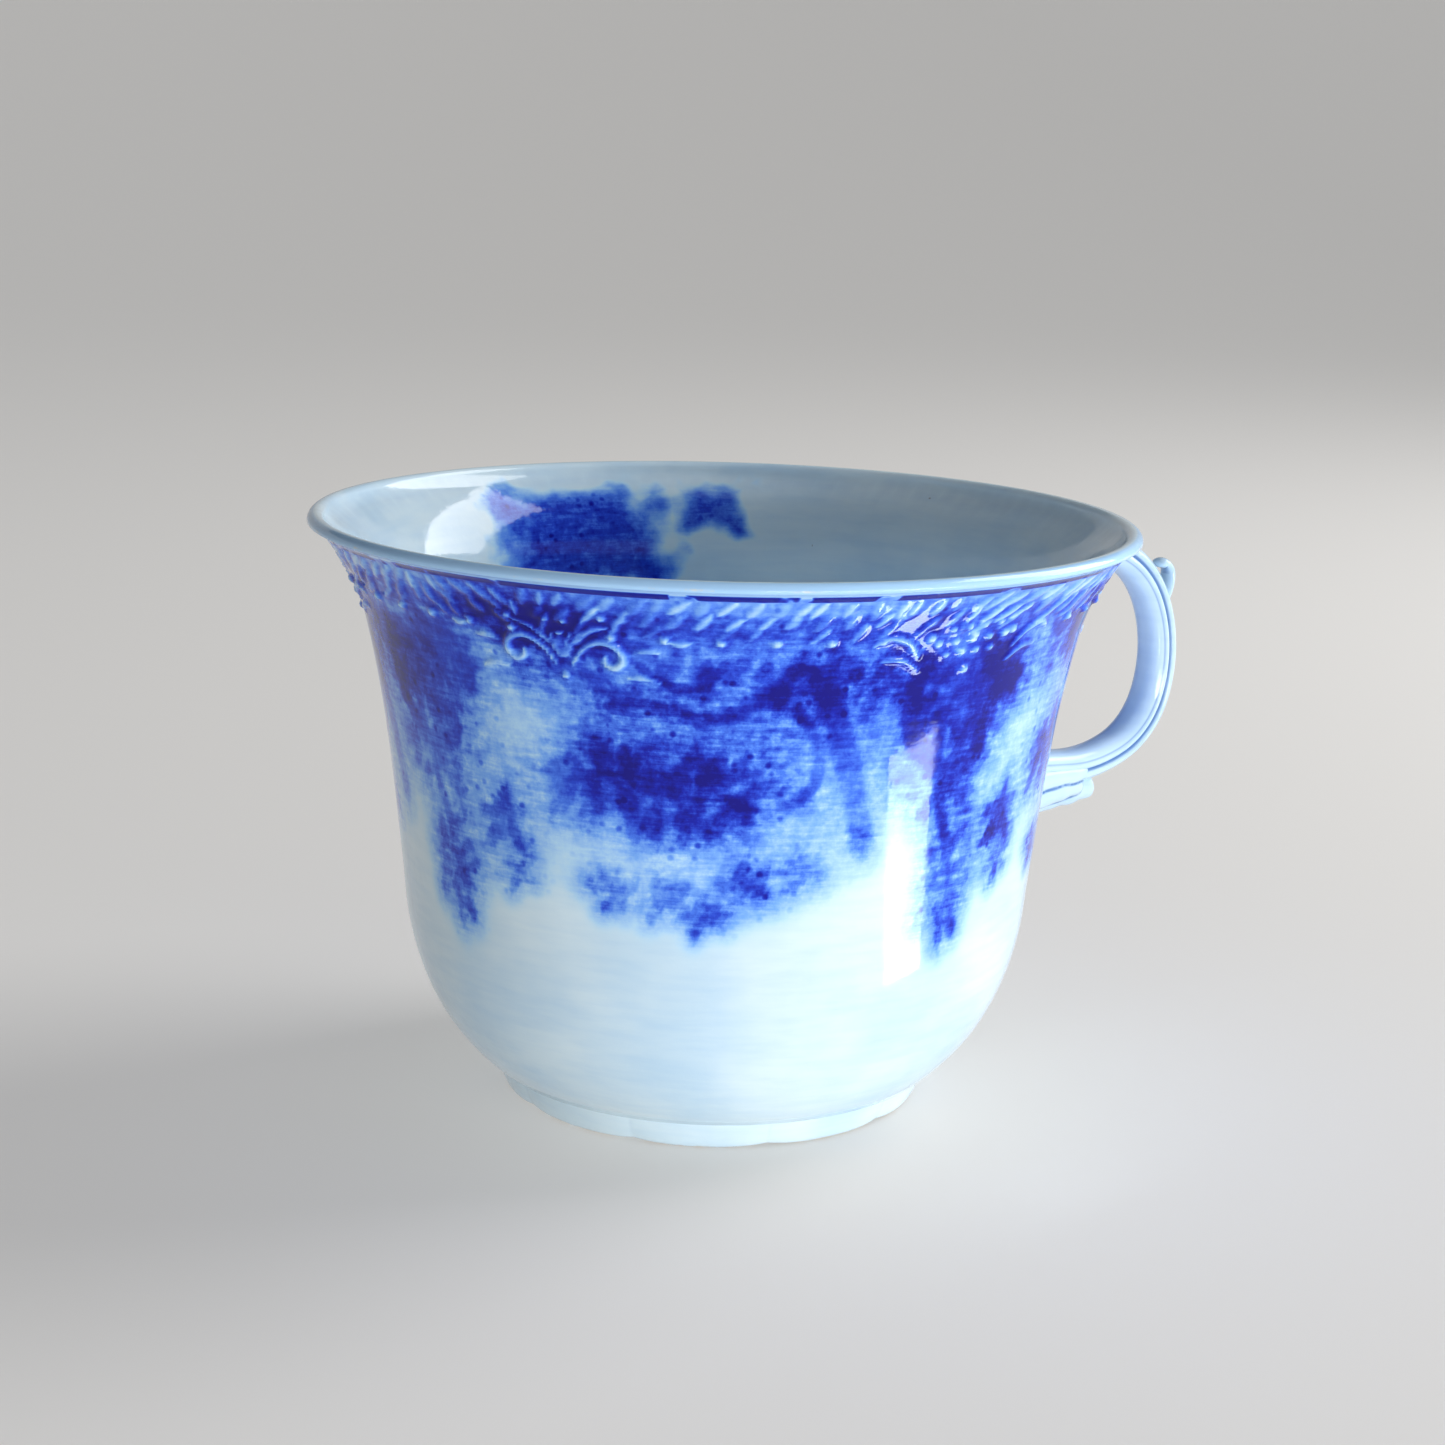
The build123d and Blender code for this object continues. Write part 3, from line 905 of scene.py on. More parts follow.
# Points from the wall outwards, radii along them, waviness, and the sides that the strand is on.
LEAF_STRANDS = [
    ([(34.0, 0.0, 24.5), (41.0, 0.0, 25.5), (47.0, 0.0, 26.6), (51.0, 0.0, 27.0), (54.2, 0.0, 27.3)],
     (1.0, 1.6, 1.75, 1.75, 1.45), 0.04, (1,)),
    ([(34.0, 2.3, 25.5), (41.0, 2.1, 26.6), (46.5, 1.8, 27.5), (49.5, 1.5, 27.8), (51.6, 1.1, 27.7)],
     (1.0, 1.4, 1.4, 1.25, 0.9), 0.04, (1, -1)),
    ([(34.0, 1.8, 28.0), (40.0, 1.7, 28.4), (45.0, 1.6, 29.0), (49.5, 1.4, 29.2), (52.4, 1.0, 29.7)],
     (2.0, 1.9, 1.6, 1.4, 1.0), 0.0, (1, -1))]


def strand_stations(name, points, radii, wave):
    """Round stations along a curve in space, with a wavy radius for a lobed edge."""
    count = STRAND_STATIONS
    path = flowing(points, count)
    radius = np.interp(np.linspace(0.0, 1.0, count), np.linspace(0.0, 1.0, len(radii)), radii)
    run = np.concatenate([[0.0], np.cumsum(np.linalg.norm(np.diff(path, axis=0), axis=1))])
    waves = np.sin(2.0 * math.pi * (run[-1] - run) / WAVE_LENGTH)
    radius *= 1.0 + wave * waves * smoothstep(*WAVE_START, run / run[-1])
    radius *= np.sqrt(np.clip((run[-1] - run) / ROUND_TIP, 0.0, 1.0))
    ahead = np.gradient(path, axis=0)
    ahead /= np.linalg.norm(ahead, axis=1)[:, None]
    back = np.cross(ahead, SIDE)
    back /= np.linalg.norm(back, axis=1)[:, None]
    aside = np.cross(back, ahead)
    places = np.vstack([path[:1], path])
    across = np.vstack([np.zeros(3), back * radius[:, None]])
    return station_object(name, places, across, np.vstack([np.zeros(3), aside * radius[:, None]]))


strands = []
for points, radii, wave, sides in LEAF_STRANDS:
    for side in sides:
        placed = [(x, side * y, z) for x, y, z in points]
        number = len(strands)
        strand = strand_stations(f"strand_path_{number}", placed, radii, wave)
        round_section = section_object("strand_section", oval)
        strands.append(grow(f"leaf_strand_{number}", [lofted(strand, round_section, plain_glaze)]))

# %% Melt the strands into one leaf
LEAF_VOXEL = 0.17
SOFTEN_SHARE = 0.5
SOFTEN_ROUNDS = 5
joined = bmesh.new()
for strand in strands:
    joined.from_mesh(strand.data)
    bpy.data.objects.remove(strand)
leaf_mesh = bpy.data.meshes.new("handle_leaf_strands")
joined.to_mesh(leaf_mesh)
joined.free()
rough_leaf = bpy.data.objects.new("rough_leaf", leaf_mesh)
bpy.context.scene.collection.objects.link(rough_leaf)
melt = rough_leaf.modifiers.new("melt", "REMESH")
melt.mode = "VOXEL"
melt.voxel_size = LEAF_VOXEL * MM
soften = rough_leaf.modifiers.new("soften", "SMOOTH")
soften.factor = SOFTEN_SHARE
soften.iterations = SOFTEN_ROUNDS
view_layer = bpy.context.evaluated_depsgraph_get()
leaf_mesh = bpy.data.meshes.new_from_object(rough_leaf.evaluated_get(view_layer), depsgraph=view_layer)
bpy.data.objects.remove(rough_leaf)
leaf_mesh.shade_smooth()
leaf_mesh.materials.clear()
leaf_mesh.materials.append(plain_glaze)
leaf = bpy.data.objects.new("handle_leaf_strands", leaf_mesh)
bpy.context.scene.collection.objects.link(leaf)
leaf_mesh.calc_loop_triangles()
print("the leaf has", len(leaf_mesh.loop_triangles), "triangles")

# %% [markdown]
# Glaze runs off edges and gathers in grooves, where it looks deeper and bluer; the grooves are also
# painted darker there as painted shade. Each plain piece therefore keeps one more value at its
# points: how hollow the surface is there. It is measured from the mesh, as how far a point lies
# below the average of its neighbours.

# %% Mark the hollows
FULL_HOLLOW = 0.35
SHORTEST_EDGE = 1e-6


def mark_hollows(piece, full):
    """Stores a hollow value, one where points lie full mm below their neighbours per mm of edge."""
    mesh = piece.data
    points = np.empty(len(mesh.vertices) * 3)
    mesh.vertices.foreach_get("co", points)
    points = points.reshape(-1, 3) / MM
    normals = np.array([vertex.normal for vertex in mesh.vertices])
    edges = np.empty(len(mesh.edges) * 2, int)
    mesh.edges.foreach_get("vertices", edges)
    a, b = edges.reshape(-1, 2).T
    ahead = points[b] - points[a]
    length = np.maximum(np.linalg.norm(ahead, axis=1), SHORTEST_EDGE)
    bend = np.zeros(len(points))
    count = np.zeros(len(points))
    np.add.at(bend, a, np.einsum("ij,ij->i", ahead, normals[a]) / length**2)
    np.add.at(bend, b, -np.einsum("ij,ij->i", ahead, normals[b]) / length**2)
    np.add.at(count, a, 1)
    np.add.at(count, b, 1)
    bend /= np.maximum(count, 1)
    for _ in range(2):
        spread_bend = np.zeros(len(points))
        np.add.at(spread_bend, a, bend[b])
        np.add.at(spread_bend, b, bend[a])
        bend = 0.5 * bend + 0.5 * spread_bend / np.maximum(count, 1)
    hollow = np.clip(bend / full, 0.0, 1.0)
    mesh.attributes.new("hollow", "FLOAT", "POINT").data.foreach_set("value", hollow)
    print(piece.name, "hollow mean", round(float(hollow.mean()), 3))


for piece in (foot, strap, curl, leaf):
    mark_hollows(piece, FULL_HOLLOW)

# %% [markdown]
# The glaze is one recipe on every piece. Under it the clay is nearly white with a cold cast that
# clouds slowly over the surface, with a few iron specks and pinholes. On top the skin is glassy and
# almost level, and only breaks a reflection a little. Those effects are two node groups that both
# materials share: Clay under glaze, for colour, and Glaze skin, for height and roughness.

# %% Helpers: colours, patterns and masks
def colour(red, green, blue):
    """A colour given as a screen shows it, from 0 to 255, turned into light."""
    shown = np.array([red, green, blue]) / 255.0
    light = np.where(shown <= 0.04045, shown / 12.92, ((shown + 0.055) / 1.055)**2.4)
    return (*light, 1.0)


def noise(tree, position, scale, detail=2.0, roughness=0.5):
    """Soft noise with so many lumps to the mm, from nought to one."""
    node = place(tree, "ShaderNodeTexNoise",
                 {"Vector": position, "Scale": scale, "Detail": detail, "Roughness": roughness})
    return node.outputs["Fac"]


def fitted(tree, value, low, high, new_low=0.0, new_high=1.0):
    """A value carried smoothly from one range to another and held there."""
    node = place(tree, "ShaderNodeMapRange", {0: value, 1: low, 2: high, 3: new_low, 4: new_high},
                 interpolation_type="SMOOTHSTEP")
    return node.outputs[0]


def blended(tree, share, first, second):
    """Two colours mixed by a share."""
    return place(tree, "ShaderNodeMix", {0: share, 6: first, 7: second}, data_type="RGBA").outputs[2]


def object_place(tree):
    """The surface point in mm."""
    coordinates = place(tree, "ShaderNodeTexCoord").outputs["Object"]
    return stretched(tree, coordinates, 1.0 / MM)


def product(tree, *values):
    """Values multiplied together, one Math node after another."""
    total = values[0]
    for value in values[1:]:
        total = sums(tree, "MULTIPLY", total, value)
    return total


def rest_of(tree, share):
    """What a share leaves over."""
    return sums(tree, "SUBTRACT", 1.0, share)


def centred(tree, lumps):
    """Noise moved down to swing about nought."""
    return sums(tree, "SUBTRACT", lumps, 0.5)


# %% The clay under the glaze
# Patterns are given as lumps to the mm and layers of detail, and cuts as where a mask starts and
# where it is full.
CLOUD_LUMPS = (0.07, 3.0)
CLOUD_CUT = (0.35, 0.7)
CLOUD_SHARE = 0.65
STREAK_STRETCH = (0.25, 0.25, 1.6)
STREAK_LUMPS = (0.6, 3.0)
STREAK_CUT = (0.3, 0.8)
STREAK_SHARE = 0.35
SPECK_SPACING = 0.22
SPECK_SIZE = 0.035
SPECK_PLACES = 0.31
SPECK_RARENESS = 0.56
SPECK_SHARE = 0.55
IRON = colour(112, 104, 100)
clay, given, result = new_tree(
    "Clay under glaze", "ShaderNodeTree",
    [("Position", "NodeSocketVector"), ("Cast", "NodeSocketColor"), ("Deeper cast", "NodeSocketColor"),
     ("Hollow", "NodeSocketFloat"), ("Pooled blue and shade", "NodeSocketColor"), ("Pooling and shade", "NodeSocketFloat")],
    [("Colour", "NodeSocketColor")])
cloud = fitted(clay, noise(clay, given["Position"], *CLOUD_LUMPS), *CLOUD_CUT)
streak_place = vectors(clay, "MULTIPLY", given["Position"], STREAK_STRETCH)
streaks = fitted(clay, noise(clay, streak_place, *STREAK_LUMPS), *STREAK_CUT)
veil = product(clay, streaks, STREAK_SHARE)
cloudy = sums(clay, "ADD", product(clay, cloud, CLOUD_SHARE), veil)
base = blended(clay, cloudy, given["Cast"], given["Deeper cast"])
# Hollows are mixed towards a deeper blue: partly glaze pooling and partly painted shade in the grooves.
pooled_and_shaded = blended(clay, product(clay, given["Hollow"], given["Pooling and shade"]), base, given["Pooled blue and shade"])
cells = place(clay, "ShaderNodeTexVoronoi", {"Vector": given["Position"], "Scale": SPECK_SPACING},
              feature="F1")
speck = sums(clay, "LESS_THAN", cells.outputs["Distance"], SPECK_SIZE)
chosen = sums(clay, "GREATER_THAN", noise(clay, given["Position"], SPECK_PLACES), SPECK_RARENESS)
specks = product(clay, speck, chosen, SPECK_SHARE)
clay.links.new(blended(clay, specks, pooled_and_shaded, IRON), result["Colour"])
print(clay.name, "has", len(clay.nodes), "nodes")

# %% The skin of the glaze
SLOW_LUMPS = (0.12, 1.0)
QUICK_LUMPS = (0.9, 2.0)
QUICK_SHARE = 0.32
PIT_SPACING = 0.55
PIT_CUT = (0.0, 0.07)
PIT_PLACES = 0.4
PIT_RARENESS = 0.6
PIT_SHARE = 0.5
PIT_DEPTH = 0.12
SMEAR_LUMPS = (0.18, 4.0, 0.6)
SMEAR_CUT = (0.45, 0.75)
CLEAN_ROUGHNESS = 0.055
skin, given, result = new_tree(
    "Glaze skin", "ShaderNodeTree",
    [("Position", "NodeSocketVector"), ("Ripple", "NodeSocketFloat"), ("Wear", "NodeSocketFloat")],
    [("Height", "NodeSocketFloat"), ("Roughness", "NodeSocketFloat")])
slow = noise(skin, given["Position"], *SLOW_LUMPS)
quick = noise(skin, given["Position"], *QUICK_LUMPS)
pits = place(skin, "ShaderNodeTexVoronoi", {"Vector": given["Position"], "Scale": PIT_SPACING}, feature="F1")
pit = fitted(skin, pits.outputs["Distance"], *PIT_CUT)
rare = sums(skin, "GREATER_THAN", noise(skin, given["Position"], PIT_PLACES), PIT_RARENESS)
pit_depth = product(skin, sums(skin, "SUBTRACT", pit, 1.0), rare, PIT_SHARE)
ripple = sums(skin, "ADD", slow, product(skin, quick, QUICK_SHARE))
rippled = product(skin, ripple, given["Ripple"])
height = sums(skin, "ADD", rippled, product(skin, pit_depth, PIT_DEPTH))
skin.links.new(height, result["Height"])
smears = fitted(skin, noise(skin, given["Position"], *SMEAR_LUMPS), *SMEAR_CUT)
worn = sums(skin, "ADD", CLEAN_ROUGHNESS, product(skin, smears, given["Wear"]))
skin.links.new(worn, result["Roughness"])
print(skin.name, "has", len(skin.nodes), "nodes")

# %% [markdown]
# The plain glaze dresses the foot, the strap, the curl and the leaf. A Principled shader stays in
# the material, with the glassy numbers set on its own sockets, and the groups feed its colour,
# roughness and normal. The handle is painted a little bluer and deeper than the foot, as painted
# shade and a painted blue reflection. The very edge that the cup stands on was wiped before firing,
# so it is bare clay, warmer and dull.

# %% Plain glaze
GROUND = colour(220, 240, 250)
GROUND_DEEP = colour(192, 222, 244)
# Painted shade: the handle's two colours are bluer and deeper than the foot's, standing for shade and a blue
# reflection.
HANDLE_PAINTED_SHADE = colour(208, 234, 251)
HANDLE_PAINTED_SHADE_DEEP = colour(186, 216, 242)
# Partly the blue of glaze pooled in hollows, partly painted shade in the grooves.
POOLED_BLUE_AND_SHADE = colour(70, 116, 182)
BARE_CLAY = colour(206, 196, 180)
GLAZE_IOR = 1.52
GLAZE_SPECULAR = 0.27
GLAZE_COAT = 0.10
COAT_ROUGHNESS = 0.03
SKIN_STRENGTH = 0.35
SKIN_DEPTH = 0.2 * MM


def glassy(material):
    """Starts a material's tree with a Principled shader set up as clear glaze."""
    material.use_nodes = True
    tree = material.node_tree
    tree.nodes.clear()
    output = tree.nodes.new("ShaderNodeOutputMaterial")
    shader = tree.nodes.new("ShaderNodeBsdfPrincipled")
    shader.inputs["IOR"].default_value = GLAZE_IOR
    shader.inputs["Specular IOR Level"].default_value = GLAZE_SPECULAR
    shader.inputs["Coat Weight"].default_value = GLAZE_COAT
    shader.inputs["Coat Roughness"].default_value = COAT_ROUGHNESS
    tree.links.new(shader.outputs[0], output.inputs[0])
    return tree, shader


def grouped(tree, group, feeds):
    """Places a shared group in a material."""
    return place(tree, "ShaderNodeGroup", feeds, node_tree=group).outputs


def attribute(tree, name):
    """A value stored at the piece's points."""
    return place(tree, "ShaderNodeAttribute", attribute_name=name).outputs["Fac"]


def finish_glaze(tree, shader, surface, shade, roughness):
    """Feeds a glaze's shader with its colour, its roughness and the bump of its skin."""
    bump = place(tree, "ShaderNodeBump",
                 {"Height": surface["Height"], "Strength": SKIN_STRENGTH, "Distance": SKIN_DEPTH})
    feeds = {"Base Color": shade, "Roughness": roughness, "Normal": bump.outputs[0]}
    for socket, value in feeds.items():
        tree.links.new(value, shader.inputs[socket])


HANDLE_SHADE_FROM = (26.0, 33.0)
PLAIN_POOLING_AND_SHADE = 0.9
PLAIN_RIPPLE = 0.5
PLAIN_WEAR = 0.08
FOOT_WEAR_CUT = (0.12, 0.42, 1.0, 0.0)
RAGGED_LUMPS = (0.5, 4.0, 0.6)
RAGGED_CUT = (0.35, 0.6)
DRY_COLOUR = 0.8
DRY_ROUGHNESS = 0.55
tree, shader = glassy(plain_glaze)
position = object_place(tree)
axes = place(tree, "ShaderNodeSeparateXYZ", {0: position}).outputs
# Painted shade: towards the handle the cast turns to the handle's painted shade colours.
handle_shade_share = fitted(tree, axes["X"], *HANDLE_SHADE_FROM)
cast_with_handle_shade = blended(tree, handle_shade_share, GROUND, HANDLE_PAINTED_SHADE)
deeper_cast_with_handle_shade = blended(tree, handle_shade_share, GROUND_DEEP, HANDLE_PAINTED_SHADE_DEEP)
body = grouped(tree, clay, {"Position": position, "Cast": cast_with_handle_shade, "Deeper cast": deeper_cast_with_handle_shade,
                            "Hollow": attribute(tree, "hollow"), "Pooled blue and shade": POOLED_BLUE_AND_SHADE,
                            "Pooling and shade": PLAIN_POOLING_AND_SHADE})
foot_wear = fitted(tree, axes["Z"], *FOOT_WEAR_CUT)
ragged = fitted(tree, noise(tree, position, *RAGGED_LUMPS), *RAGGED_CUT)
dry = product(tree, foot_wear, ragged)
surface = grouped(tree, skin, {"Position": position, "Ripple": PLAIN_RIPPLE, "Wear": PLAIN_WEAR})
plain_colour = blended(tree, product(tree, dry, DRY_COLOUR), body["Colour"], BARE_CLAY)
plain_rough = sums(tree, "ADD", surface["Roughness"], product(tree, dry, DRY_ROUGHNESS))
finish_glaze(tree, shader, surface, plain_colour, plain_rough)
print("plain glaze has", len(tree.nodes), "nodes")

# %% [markdown]
# The printed glaze starts from the same clay. The blue is thin on the tops of the ridges, where
# the glaze ran off, and deep in the hollows beside them. Kiln flow, mottling and a faint
# sideways drag break up the drawn leaves. A ramp turns the amount of blue into its colour, from
# the pale ground through sky and royal blue to a near-black indigo. A fine broken line runs
# under the lip, and traces of worn gilding lie on the lip itself. Inside, one soft patch and a
# small sprig sit under the rim on two opposite sides.

# %% Printed glaze: what is stored on the bowl
tree, shader = glassy(printed_glaze)
position = object_place(tree)
axes = place(tree, "ShaderNodeSeparateXYZ", {0: position}).outputs
height_mm = axes["Z"]
angle = product(tree, sums(tree, "ARCTAN2", axes["Y"], axes["X"]), math.degrees(1.0))
STORED = ("inside", "lift", "pool", "ink", "haze", "border")
inside, lift, pool, ink, haze, border = [attribute(tree, name) for name in STORED]
print("read from the bowl:", *STORED)

# %% [markdown]
# Nothing in a kiln is even. Kiln flow makes whole areas paler or deeper, and the tooth is the sum of
# mottling, fine grain and the sideways drag of the printing tissue, with dark cobalt flecks here
# and there. The tooth bites only where there is blue to bite into.

# %% Printed glaze: kiln flow and tooth
KILN_LUMPS = (0.075, 2.0)
KILN_CUT = (0.3, 0.72, 0.62, 1.25)
MOTTLE_LUMPS = (0.75, 4.0, 0.62)
MOTTLE_SHARE = 0.95
GRAIN_LUMPS = (2.6, 2.0, 0.6)
GRAIN_SHARE = 0.24
DRAG_STRETCH = (0.22, 0.22, 1.9)
DRAG_LUMPS = (1.1, 3.0, 0.6)
DRAG_SHARE = 0.7
FLECK_SPACING = 0.62
FLECK_CUT = (0.08, 0.3, 1.0, 0.0)
FLECK_PLACES = (0.16, 2.0)
FLECK_PLACES_CUT = (0.42, 0.6)
FLECK_SHARE = 0.42
kiln = fitted(tree, noise(tree, position, *KILN_LUMPS), *KILN_CUT)
mottle = centred(tree, noise(tree, position, *MOTTLE_LUMPS))
grain = centred(tree, noise(tree, position, *GRAIN_LUMPS))
drag_place = vectors(tree, "MULTIPLY", position, DRAG_STRETCH)
drag = centred(tree, noise(tree, drag_place, *DRAG_LUMPS))
cobalt = place(tree, "ShaderNodeTexVoronoi", {"Vector": position, "Scale": FLECK_SPACING}, feature="F1")
fleck = fitted(tree, cobalt.outputs["Distance"], *FLECK_CUT)
fleck_places = fitted(tree, noise(tree, position, *FLECK_PLACES), *FLECK_PLACES_CUT)
flecks = product(tree, fleck, fleck_places, FLECK_SHARE)
fine_tooth = sums(tree, "ADD", product(tree, grain, GRAIN_SHARE), product(tree, drag, DRAG_SHARE))
tooth = sums(tree, "ADD", product(tree, mottle, MOTTLE_SHARE), fine_tooth)
tooth = sums(tree, "ADD", tooth, flecks)
print("kiln flow and tooth made,", len(tree.nodes), "nodes so far")

# %% Printed glaze: the blue on the outside
INK_SHARE = 0.38
HAZE_SHARE = 0.54
BORDER_SHARE = 0.72
BITE_CUT = (0.0, 0.5, 0.0, 0.85)
SHED_SHARE = 0.84
GATHERED_SHARE = 0.36
LINE_HEIGHT = 61.75
LINE_CUT = (0.20, 0.42, 1.0, 0.0)
LINE_STRETCH = (1.0, 1.0, 0.1)
LINE_LUMPS = (0.28, 2.0)
LINE_BREAKS = (0.36, 0.46)
LINE_SHARE = 0.95
LIP_TINT = (61.6, 62.2, 0.0, 0.13)
field = sums(tree, "ADD", product(tree, ink, INK_SHARE), product(tree, haze, HAZE_SHARE))
field = sums(tree, "MAXIMUM", field, product(tree, border, BORDER_SHARE))
shaken = product(tree, tooth, fitted(tree, field, *BITE_CUT))
amount = product(tree, sums(tree, "ADD", field, shaken), kiln)
shed = product(tree, lift, SHED_SHARE)
gathered = product(tree, sums(tree, "SUBTRACT", pool, lift), border, GATHERED_SHARE)
amount = sums(tree, "ADD", product(tree, amount, rest_of(tree, shed)), gathered)
line_rise = sums(tree, "ABSOLUTE", sums(tree, "SUBTRACT", height_mm, LINE_HEIGHT))
line_mask = fitted(tree, line_rise, *LINE_CUT)
line_place = vectors(tree, "MULTIPLY", position, LINE_STRETCH)
breaks = fitted(tree, noise(tree, line_place, *LINE_LUMPS), *LINE_BREAKS)
line_blue = product(tree, line_mask, breaks, LINE_SHARE)
lip_tint = fitted(tree, height_mm, *LIP_TINT)
amount = sums(tree, "MAXIMUM", sums(tree, "MAXIMUM", amount, line_blue), lip_tint)
outside_blue = product(tree, amount, rest_of(tree, inside))
print("outside blue made,", len(tree.nodes), "nodes so far")

# %% Printed glaze: the patch and the sprig inside
# Each mark: angle, half angle, height, half height, and how soft its edge is.
PATCH = (84.0, 15.0, 54.5, 5.4, 0.42)
SPRIG = (59.0, 5.0, 58.4, 2.0, 0.8)
PATCH_SHARE = 0.64
SPRIG_SHARE = 0.6
INNER_TOOTH = 1.15
SWAY_LUMPS = (0.22, 1.5)
SWAY_SHARE = 3.2
QUARTER_TURN = 90.0


def inside_mark(tree, centre, half_angle, middle, half_height, soft):
    """A soft upright patch inside the rim, on two opposite sides, with an uneven edge."""
    turn = sums(tree, "SUBTRACT", angle, centre)
    local = sums(tree, "WRAP", turn, QUARTER_TURN, -QUARTER_TURN)
    sway = product(tree, centred(tree, noise(tree, position, *SWAY_LUMPS)), soft * SWAY_SHARE)
    aside = sums(tree, "DIVIDE", sums(tree, "ABSOLUTE", local), half_angle)
    above = sums(tree, "ABSOLUTE", sums(tree, "SUBTRACT", height_mm, middle))
    above = sums(tree, "DIVIDE", above, half_height)
    edge = sums(tree, "ADD", sums(tree, "MAXIMUM", aside, above), sway)
    return fitted(tree, edge, 1.0 - soft, 1.0 + soft, 1.0, 0.0)


patch = inside_mark(tree, *PATCH)
sprig = inside_mark(tree, *SPRIG)
inner_print = sums(tree, "MAXIMUM", product(tree, patch, PATCH_SHARE), product(tree, sprig, SPRIG_SHARE))
inner_tooth = product(tree, tooth, product(tree, inner_print, INNER_TOOTH))
inside_blue = product(tree, sums(tree, "ADD", inner_print, inner_tooth), inside)
total = place(tree, "ShaderNodeMath", {0: outside_blue, 1: inside_blue}, operation="ADD", use_clamp=True)
total = total.outputs[0]
print("inside blue made,", len(tree.nodes), "nodes so far")

# %% Printed glaze: from blue to colour, with the worn gilding
BLUES = [(0.0, colour(212, 239, 252)), (0.10, colour(182, 222, 253)), (0.25, colour(122, 176, 250)),
         (0.42, colour(72, 124, 238)), (0.60, colour(36, 72, 210)), (0.80, colour(12, 28, 170)),
         (1.0, colour(7, 4, 128))]
PRINTED_POOLING_AND_SHADE = 0.15
PRINTED_RIPPLE = 0.9
PRINTED_WEAR = 0.10
FIRST_BLUE = (0.0, 0.12)
GILT_HEIGHT = 62.75
GILT_CUT = (0.04, 0.16, 1.0, 0.0)
GILT_LUMPS = (0.16, 6.0, 0.75)
GILT_LEFT = (0.5, 0.7)
GILT_SHARE = 0.55
GILT = colour(232, 214, 176)
ramp = tree.nodes.new("ShaderNodeValToRGB")
for spot, shade in BLUES[1:-1]:
    ramp.color_ramp.elements.new(spot).color = shade
ramp.color_ramp.elements[0].color = BLUES[0][1]
ramp.color_ramp.elements[-1].color = BLUES[-1][1]
tree.links.new(total, ramp.inputs["Fac"])
body = grouped(tree, clay, {"Position": position, "Cast": GROUND, "Deeper cast": GROUND_DEEP,
                            "Hollow": pool, "Pooled blue and shade": POOLED_BLUE_AND_SHADE, "Pooling and shade": PRINTED_POOLING_AND_SHADE})
printed = blended(tree, fitted(tree, total, *FIRST_BLUE), body["Colour"], ramp.outputs["Color"])
gilt_rise = sums(tree, "ABSOLUTE", sums(tree, "SUBTRACT", height_mm, GILT_HEIGHT))
gilt_band = fitted(tree, gilt_rise, *GILT_CUT)
gilt_left = fitted(tree, noise(tree, position, *GILT_LUMPS), *GILT_LEFT)
gilt = product(tree, gilt_band, gilt_left, rest_of(tree, inside), GILT_SHARE)
gilded = blended(tree, gilt, printed, GILT)
surface = grouped(tree, skin, {"Position": position, "Ripple": PRINTED_RIPPLE, "Wear": PRINTED_WEAR})
finish_glaze(tree, shader, surface, gilded, surface["Roughness"])
print("printed glaze has", len(tree.nodes), "nodes")

# %% [markdown]
# Each finished piece now takes the place of its measured solid, and all of them ride on the one
# body, because nothing on a cup moves.

# %% Join the pieces to the model
PIECES = [(bowl, "bowl", "blue_printed_glaze"), (foot, "foot_ring", "plain_glaze"),
          (strap, "handle_loop", "plain_glaze"), (curl, "thumb_scroll", "plain_glaze"),
          (leaf, "handle_leaf", "plain_glaze")]
for piece, node, slot in PIECES:
    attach(piece, "root")
    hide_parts(node)
for helper in helpers:
    bpy.data.objects.remove(helper)
print("pieces:", [piece.name for piece, _, _ in PIECES])

# %% [markdown]
# The stage is a pale floor that curves up out of sight, under a pale sky. It glows faintly, as a
# white table does in a bright room. A broad soft light stands high on the right, like a window, and
# a low one stands in front, under the rim's level, so that it lights the outside and leaves the
# inside to the window. A small panel stands close to the cup, leaning a little. It shows only in
# reflections, and gives the glaze its tall bright streak.

# %% Floor
FLAT_REACH = 1.1
FLOOR_BEND = 0.9
BEND_END = 1.4
BEND_ROWS = 16
MIDDLE_REACH = 0.3
FLOOR_SIDES = 96
FLOOR_SHADE = colour(176, 174, 171)
FLOOR_GLOW = colour(232, 231, 229)
GLOW_STRENGTH = 0.42
FLOOR_ROUGHNESS = 0.9
bend_turns = np.linspace(0.0, BEND_END, BEND_ROWS)
floor_line = [(MIDDLE_REACH, 0.0)]
for turn in bend_turns:
    floor_line.append((FLAT_REACH + FLOOR_BEND * math.sin(turn), FLOOR_BEND - FLOOR_BEND * math.cos(turn)))
floor_mesh = bmesh.new()
rings = []
for radius, level in floor_line:
    rings.append([floor_mesh.verts.new((radius * math.cos(turn), radius * math.sin(turn), level))
                  for turn in np.linspace(0.0, 2.0 * math.pi, FLOOR_SIDES + 1)[:-1]])
floor_mesh.faces.new(rings[0])
for inner, outer in zip(rings, rings[1:]):
    for k in range(FLOOR_SIDES):
        after = (k + 1) % FLOOR_SIDES
        floor_mesh.faces.new((inner[k], outer[k], outer[after], inner[after]))
floor_data = bpy.data.meshes.new("floor")
floor_mesh.to_mesh(floor_data)
floor_mesh.free()
floor_data.shade_smooth()
floor = bpy.data.objects.new("floor", floor_data)
bpy.context.scene.collection.objects.link(floor)
floor_finish = bpy.data.materials.new("floor")
floor_finish.use_nodes = True
floor_shader = floor_finish.node_tree.nodes["Principled BSDF"]
floor_shader.inputs["Base Color"].default_value = FLOOR_SHADE
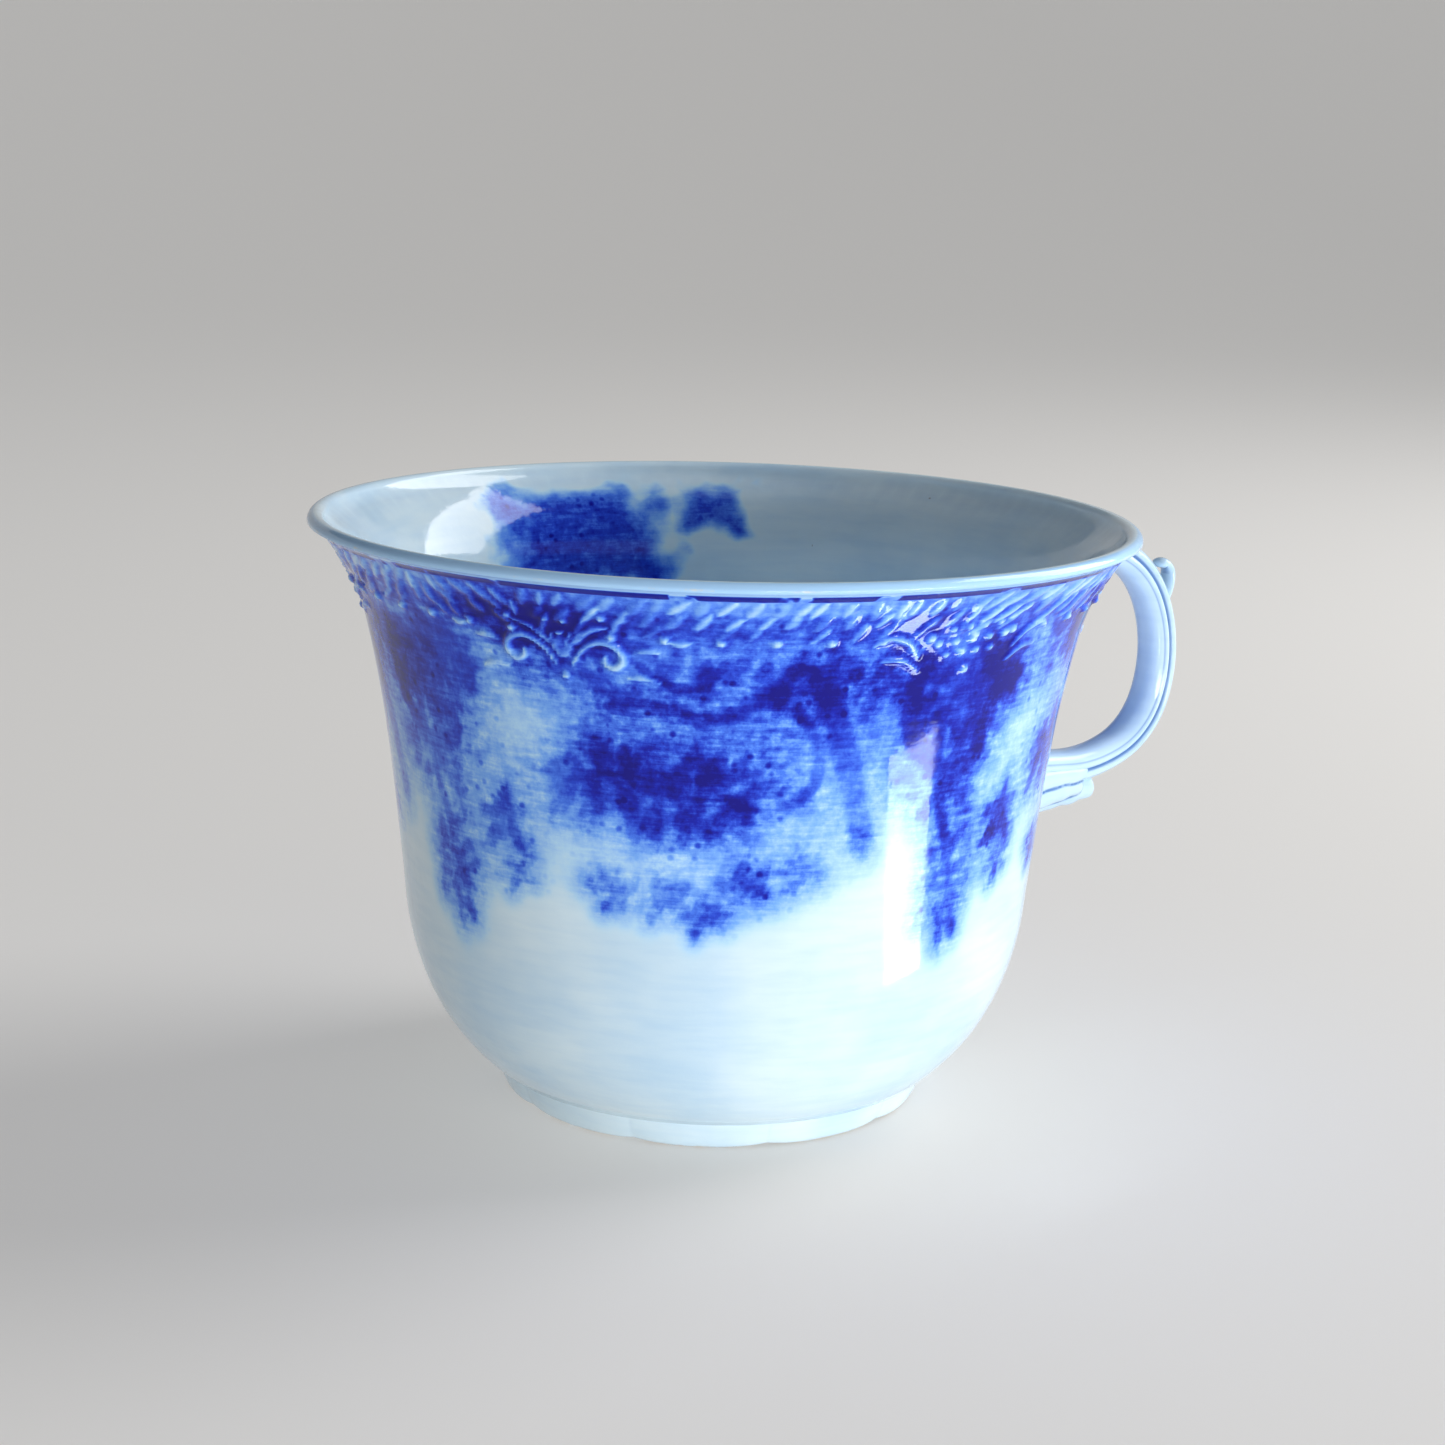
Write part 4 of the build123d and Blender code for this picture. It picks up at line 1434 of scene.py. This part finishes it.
floor_shader.inputs["Roughness"].default_value = FLOOR_ROUGHNESS
floor_shader.inputs["Emission Color"].default_value = FLOOR_GLOW
floor_shader.inputs["Emission Strength"].default_value = GLOW_STRENGTH
floor_data.materials.append(floor_finish)
print("the floor has", len(floor_data.polygons), "faces")


# %% Lights
def softbox(name, direction, elevation, distance, size, power):
    """A panel light that faces the cup, seen in reflections but not by the camera."""
    data = bpy.data.lights.new(name, "AREA")
    data.shape = "RECTANGLE"
    data.size, data.size_y = size
    data.energy = power
    light = bpy.data.objects.new(name, data)
    turn, rise = math.radians(direction), math.radians(elevation)
    away = Vector((math.cos(turn) * math.cos(rise), math.sin(turn) * math.cos(rise), math.sin(rise)))
    light.location = away * distance + Vector((0.0, 0.0, CUP_HEIGHT / 2 * MM))
    light.rotation_euler = (-away).to_track_quat("-Z", "Y").to_euler()
    light.visible_camera = False
    bpy.context.scene.collection.objects.link(light)
    return light


VIEW_ANGLE = -124.0
# Each panel: direction and elevation in degrees, distance and size in metres, power in watts.
WINDOW = (VIEW_ANGLE + 114.0, 34.0, 0.75, (0.42, 0.6), 5.0)
FRONT = (VIEW_ANGLE + 36.0, 2.0, 0.5, (0.5, 0.08), 2.0)
STREAK = (VIEW_ANGLE + 48.6, 0.0, 0.055, (0.0115, 0.027), 0.0135)
STREAK_HEIGHT = 20.8
STREAK_LEAN = math.radians(14.0)
STREAK_COLOUR = (0.78, 0.9, 1.0)
OVERHEAD_HEIGHT = 1.3
OVERHEAD_POWER = 1.0
OVERHEAD_SOFTNESS = 0.25
SKY = (0.86, 0.90, 1.0, 1.0)
SKY_STRENGTH = 0.10
softbox("window", *WINDOW)
softbox("front", *FRONT)
streak = softbox("streak", *STREAK)
streak.location.z = STREAK_HEIGHT * MM
streak.rotation_euler.rotate_axis("Z", STREAK_LEAN)
streak.visible_diffuse = False
streak.data.color = STREAK_COLOUR
overhead_data = bpy.data.lights.new("overhead", "POINT")
overhead_data.energy = OVERHEAD_POWER
overhead_data.shadow_soft_size = OVERHEAD_SOFTNESS
overhead = bpy.data.objects.new("overhead", overhead_data)
overhead.location.z = OVERHEAD_HEIGHT
bpy.context.scene.collection.objects.link(overhead)
world = bpy.data.worlds.new("pale sky")
world.use_nodes = True
world.node_tree.nodes["Background"].inputs["Color"].default_value = SKY
world.node_tree.nodes["Background"].inputs["Strength"].default_value = SKY_STRENGTH
bpy.context.scene.world = world
bpy.context.scene.view_settings.view_transform = "Standard"
bpy.context.scene.view_settings.look = "None"
print("lights:", [item.name for item in bpy.data.lights])
